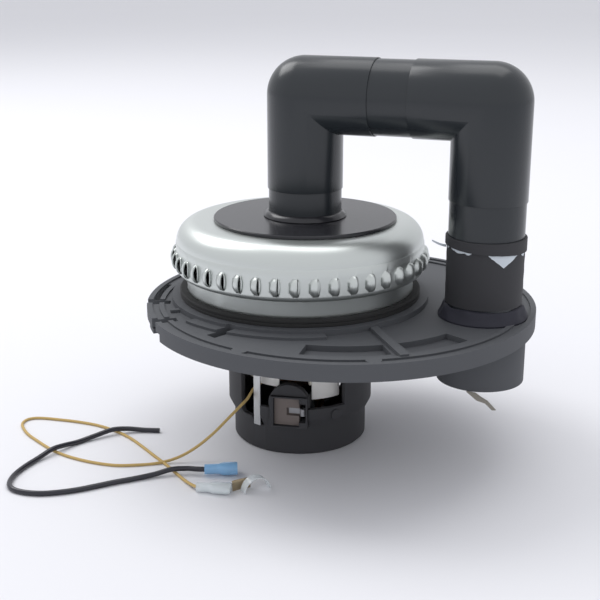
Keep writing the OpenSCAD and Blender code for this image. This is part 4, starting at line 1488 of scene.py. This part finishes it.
    def mastic(self) -> bpy.types.Object:
        """Returns the lumpy mastic round the port leg's foot."""
        z, r = self.deck, self.radius
        bm = Shaping.turned([
            (r + 0.06, z + 0.02), (r + 3.8, z + 0.02), (r + 3.95, z + 0.8), (r + 3.3, z + 2),
            (r + 2.7, z + 3.2), (r + 2.1, z + 4.4), (r + 1.6, z + 5.8), (r + 1.1, z + 6.9),
            (r + 0.06, z + 7.3),
        ], (self.port_x, 0, 0), 150)
        Shaping.rough_up(bm, 1.3, 130, lambda p: min(1.0, max(0.0, (p.z / MM - z - 0.3) / 2)))
        return Piece("mastic_bead", Finishes.mastic, replaces=("sealing_mastic",)).place(bm)

    def coupling(self) -> bpy.types.Object:
        """Returns the socket under the plate."""
        bm = Shaping.from_node("port_socket")
        Shaping.soften(bm, 0.4, 30, 2)
        return Piece("port_socket_moulded", Finishes.plate_plastic, replaces=("port_socket",)).place(bm)


# ---------- plate and motor ----------


@dataclass
class SoftenedPart:
    """A CAD node whose shape is right, shown with rounded edges."""

    node: str
    finish: Finish
    width: float = 0.3
    body: str = "stator"
    angle: float = 28

    def build(self) -> bpy.types.Object:
        """Returns the node's copy with its sharp edges rounded."""
        bm = Shaping.from_node(self.node)
        Shaping.soften(bm, self.width, self.angle, 2)
        piece = Piece(self.node + "_finished", self.finish, self.body, (self.node,), smooth=34)
        return piece.place(bm)


class Turbine:
    """The whole object, built from its sub-assemblies."""

    softened: tuple[SoftenedPart, ...] = (
        SoftenedPart("mounting_plate", Finishes.plate_plastic, 0.35),
        SoftenedPart("motor_housing", Finishes.housing_plastic, 0.3),
        SoftenedPart("brush_holders", Finishes.housing_plastic, 0.25),
        SoftenedPart("front_brush", Finishes.carbon, 0.25, "front_brush"),
        SoftenedPart("rear_brush", Finishes.carbon, 0.25, "rear_brush"),
        SoftenedPart("earth_strip", Finishes.bright_steel, 0.15),
        SoftenedPart("field_core", Finishes.stack_steel, 0.15),
        SoftenedPart("field_coils", Finishes.coil_tape, 0.5),
        SoftenedPart("coil_insulation", Finishes.insulation_film, 0.1),
    )

    def build(self) -> None:
        """Builds the sub-assemblies in order, then dresses what is left of the CAD model."""
        Leads().build()
        FanShell().build()
        RubberRing().build()
        PipeArch().build()
        for part in self.softened:
            part.build()
        self.dress_nodes()

    def dress_nodes(self) -> None:
        """Gives each CAD node that still shows its finish."""
        slots = {s["node"]: s["material_slot"] for s in FRAME["record"]["subparts"]}
        for name, node in FRAME["nodes"].items():
            finish = Finishes.by_slot(slots[name])
            node.data.materials.clear()
            node.data.materials.append(finish.material())


FRAME: dict = {}


def main() -> None:
    """Builds the studio and the object, and writes the sizes."""
    logging.basicConfig(level=logging.INFO, format="%(name)s %(message)s")
    random.seed(7)
    FRAME.update(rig.load())
    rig.load_nodes = FRAME["nodes"]
    cad = [list(corner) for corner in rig.bounds()]
    for maker in (cloud_group, streak_group, grain_group):
        maker()
    Studio().build()
    Turbine().build()
    visual = [list(corner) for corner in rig.bounds()]
    with open(SIZE_FILE, "w", encoding="utf-8") as file:
        json.dump({"cad": cad, "visual": visual}, file)


if __name__ == "__main__":
    main()
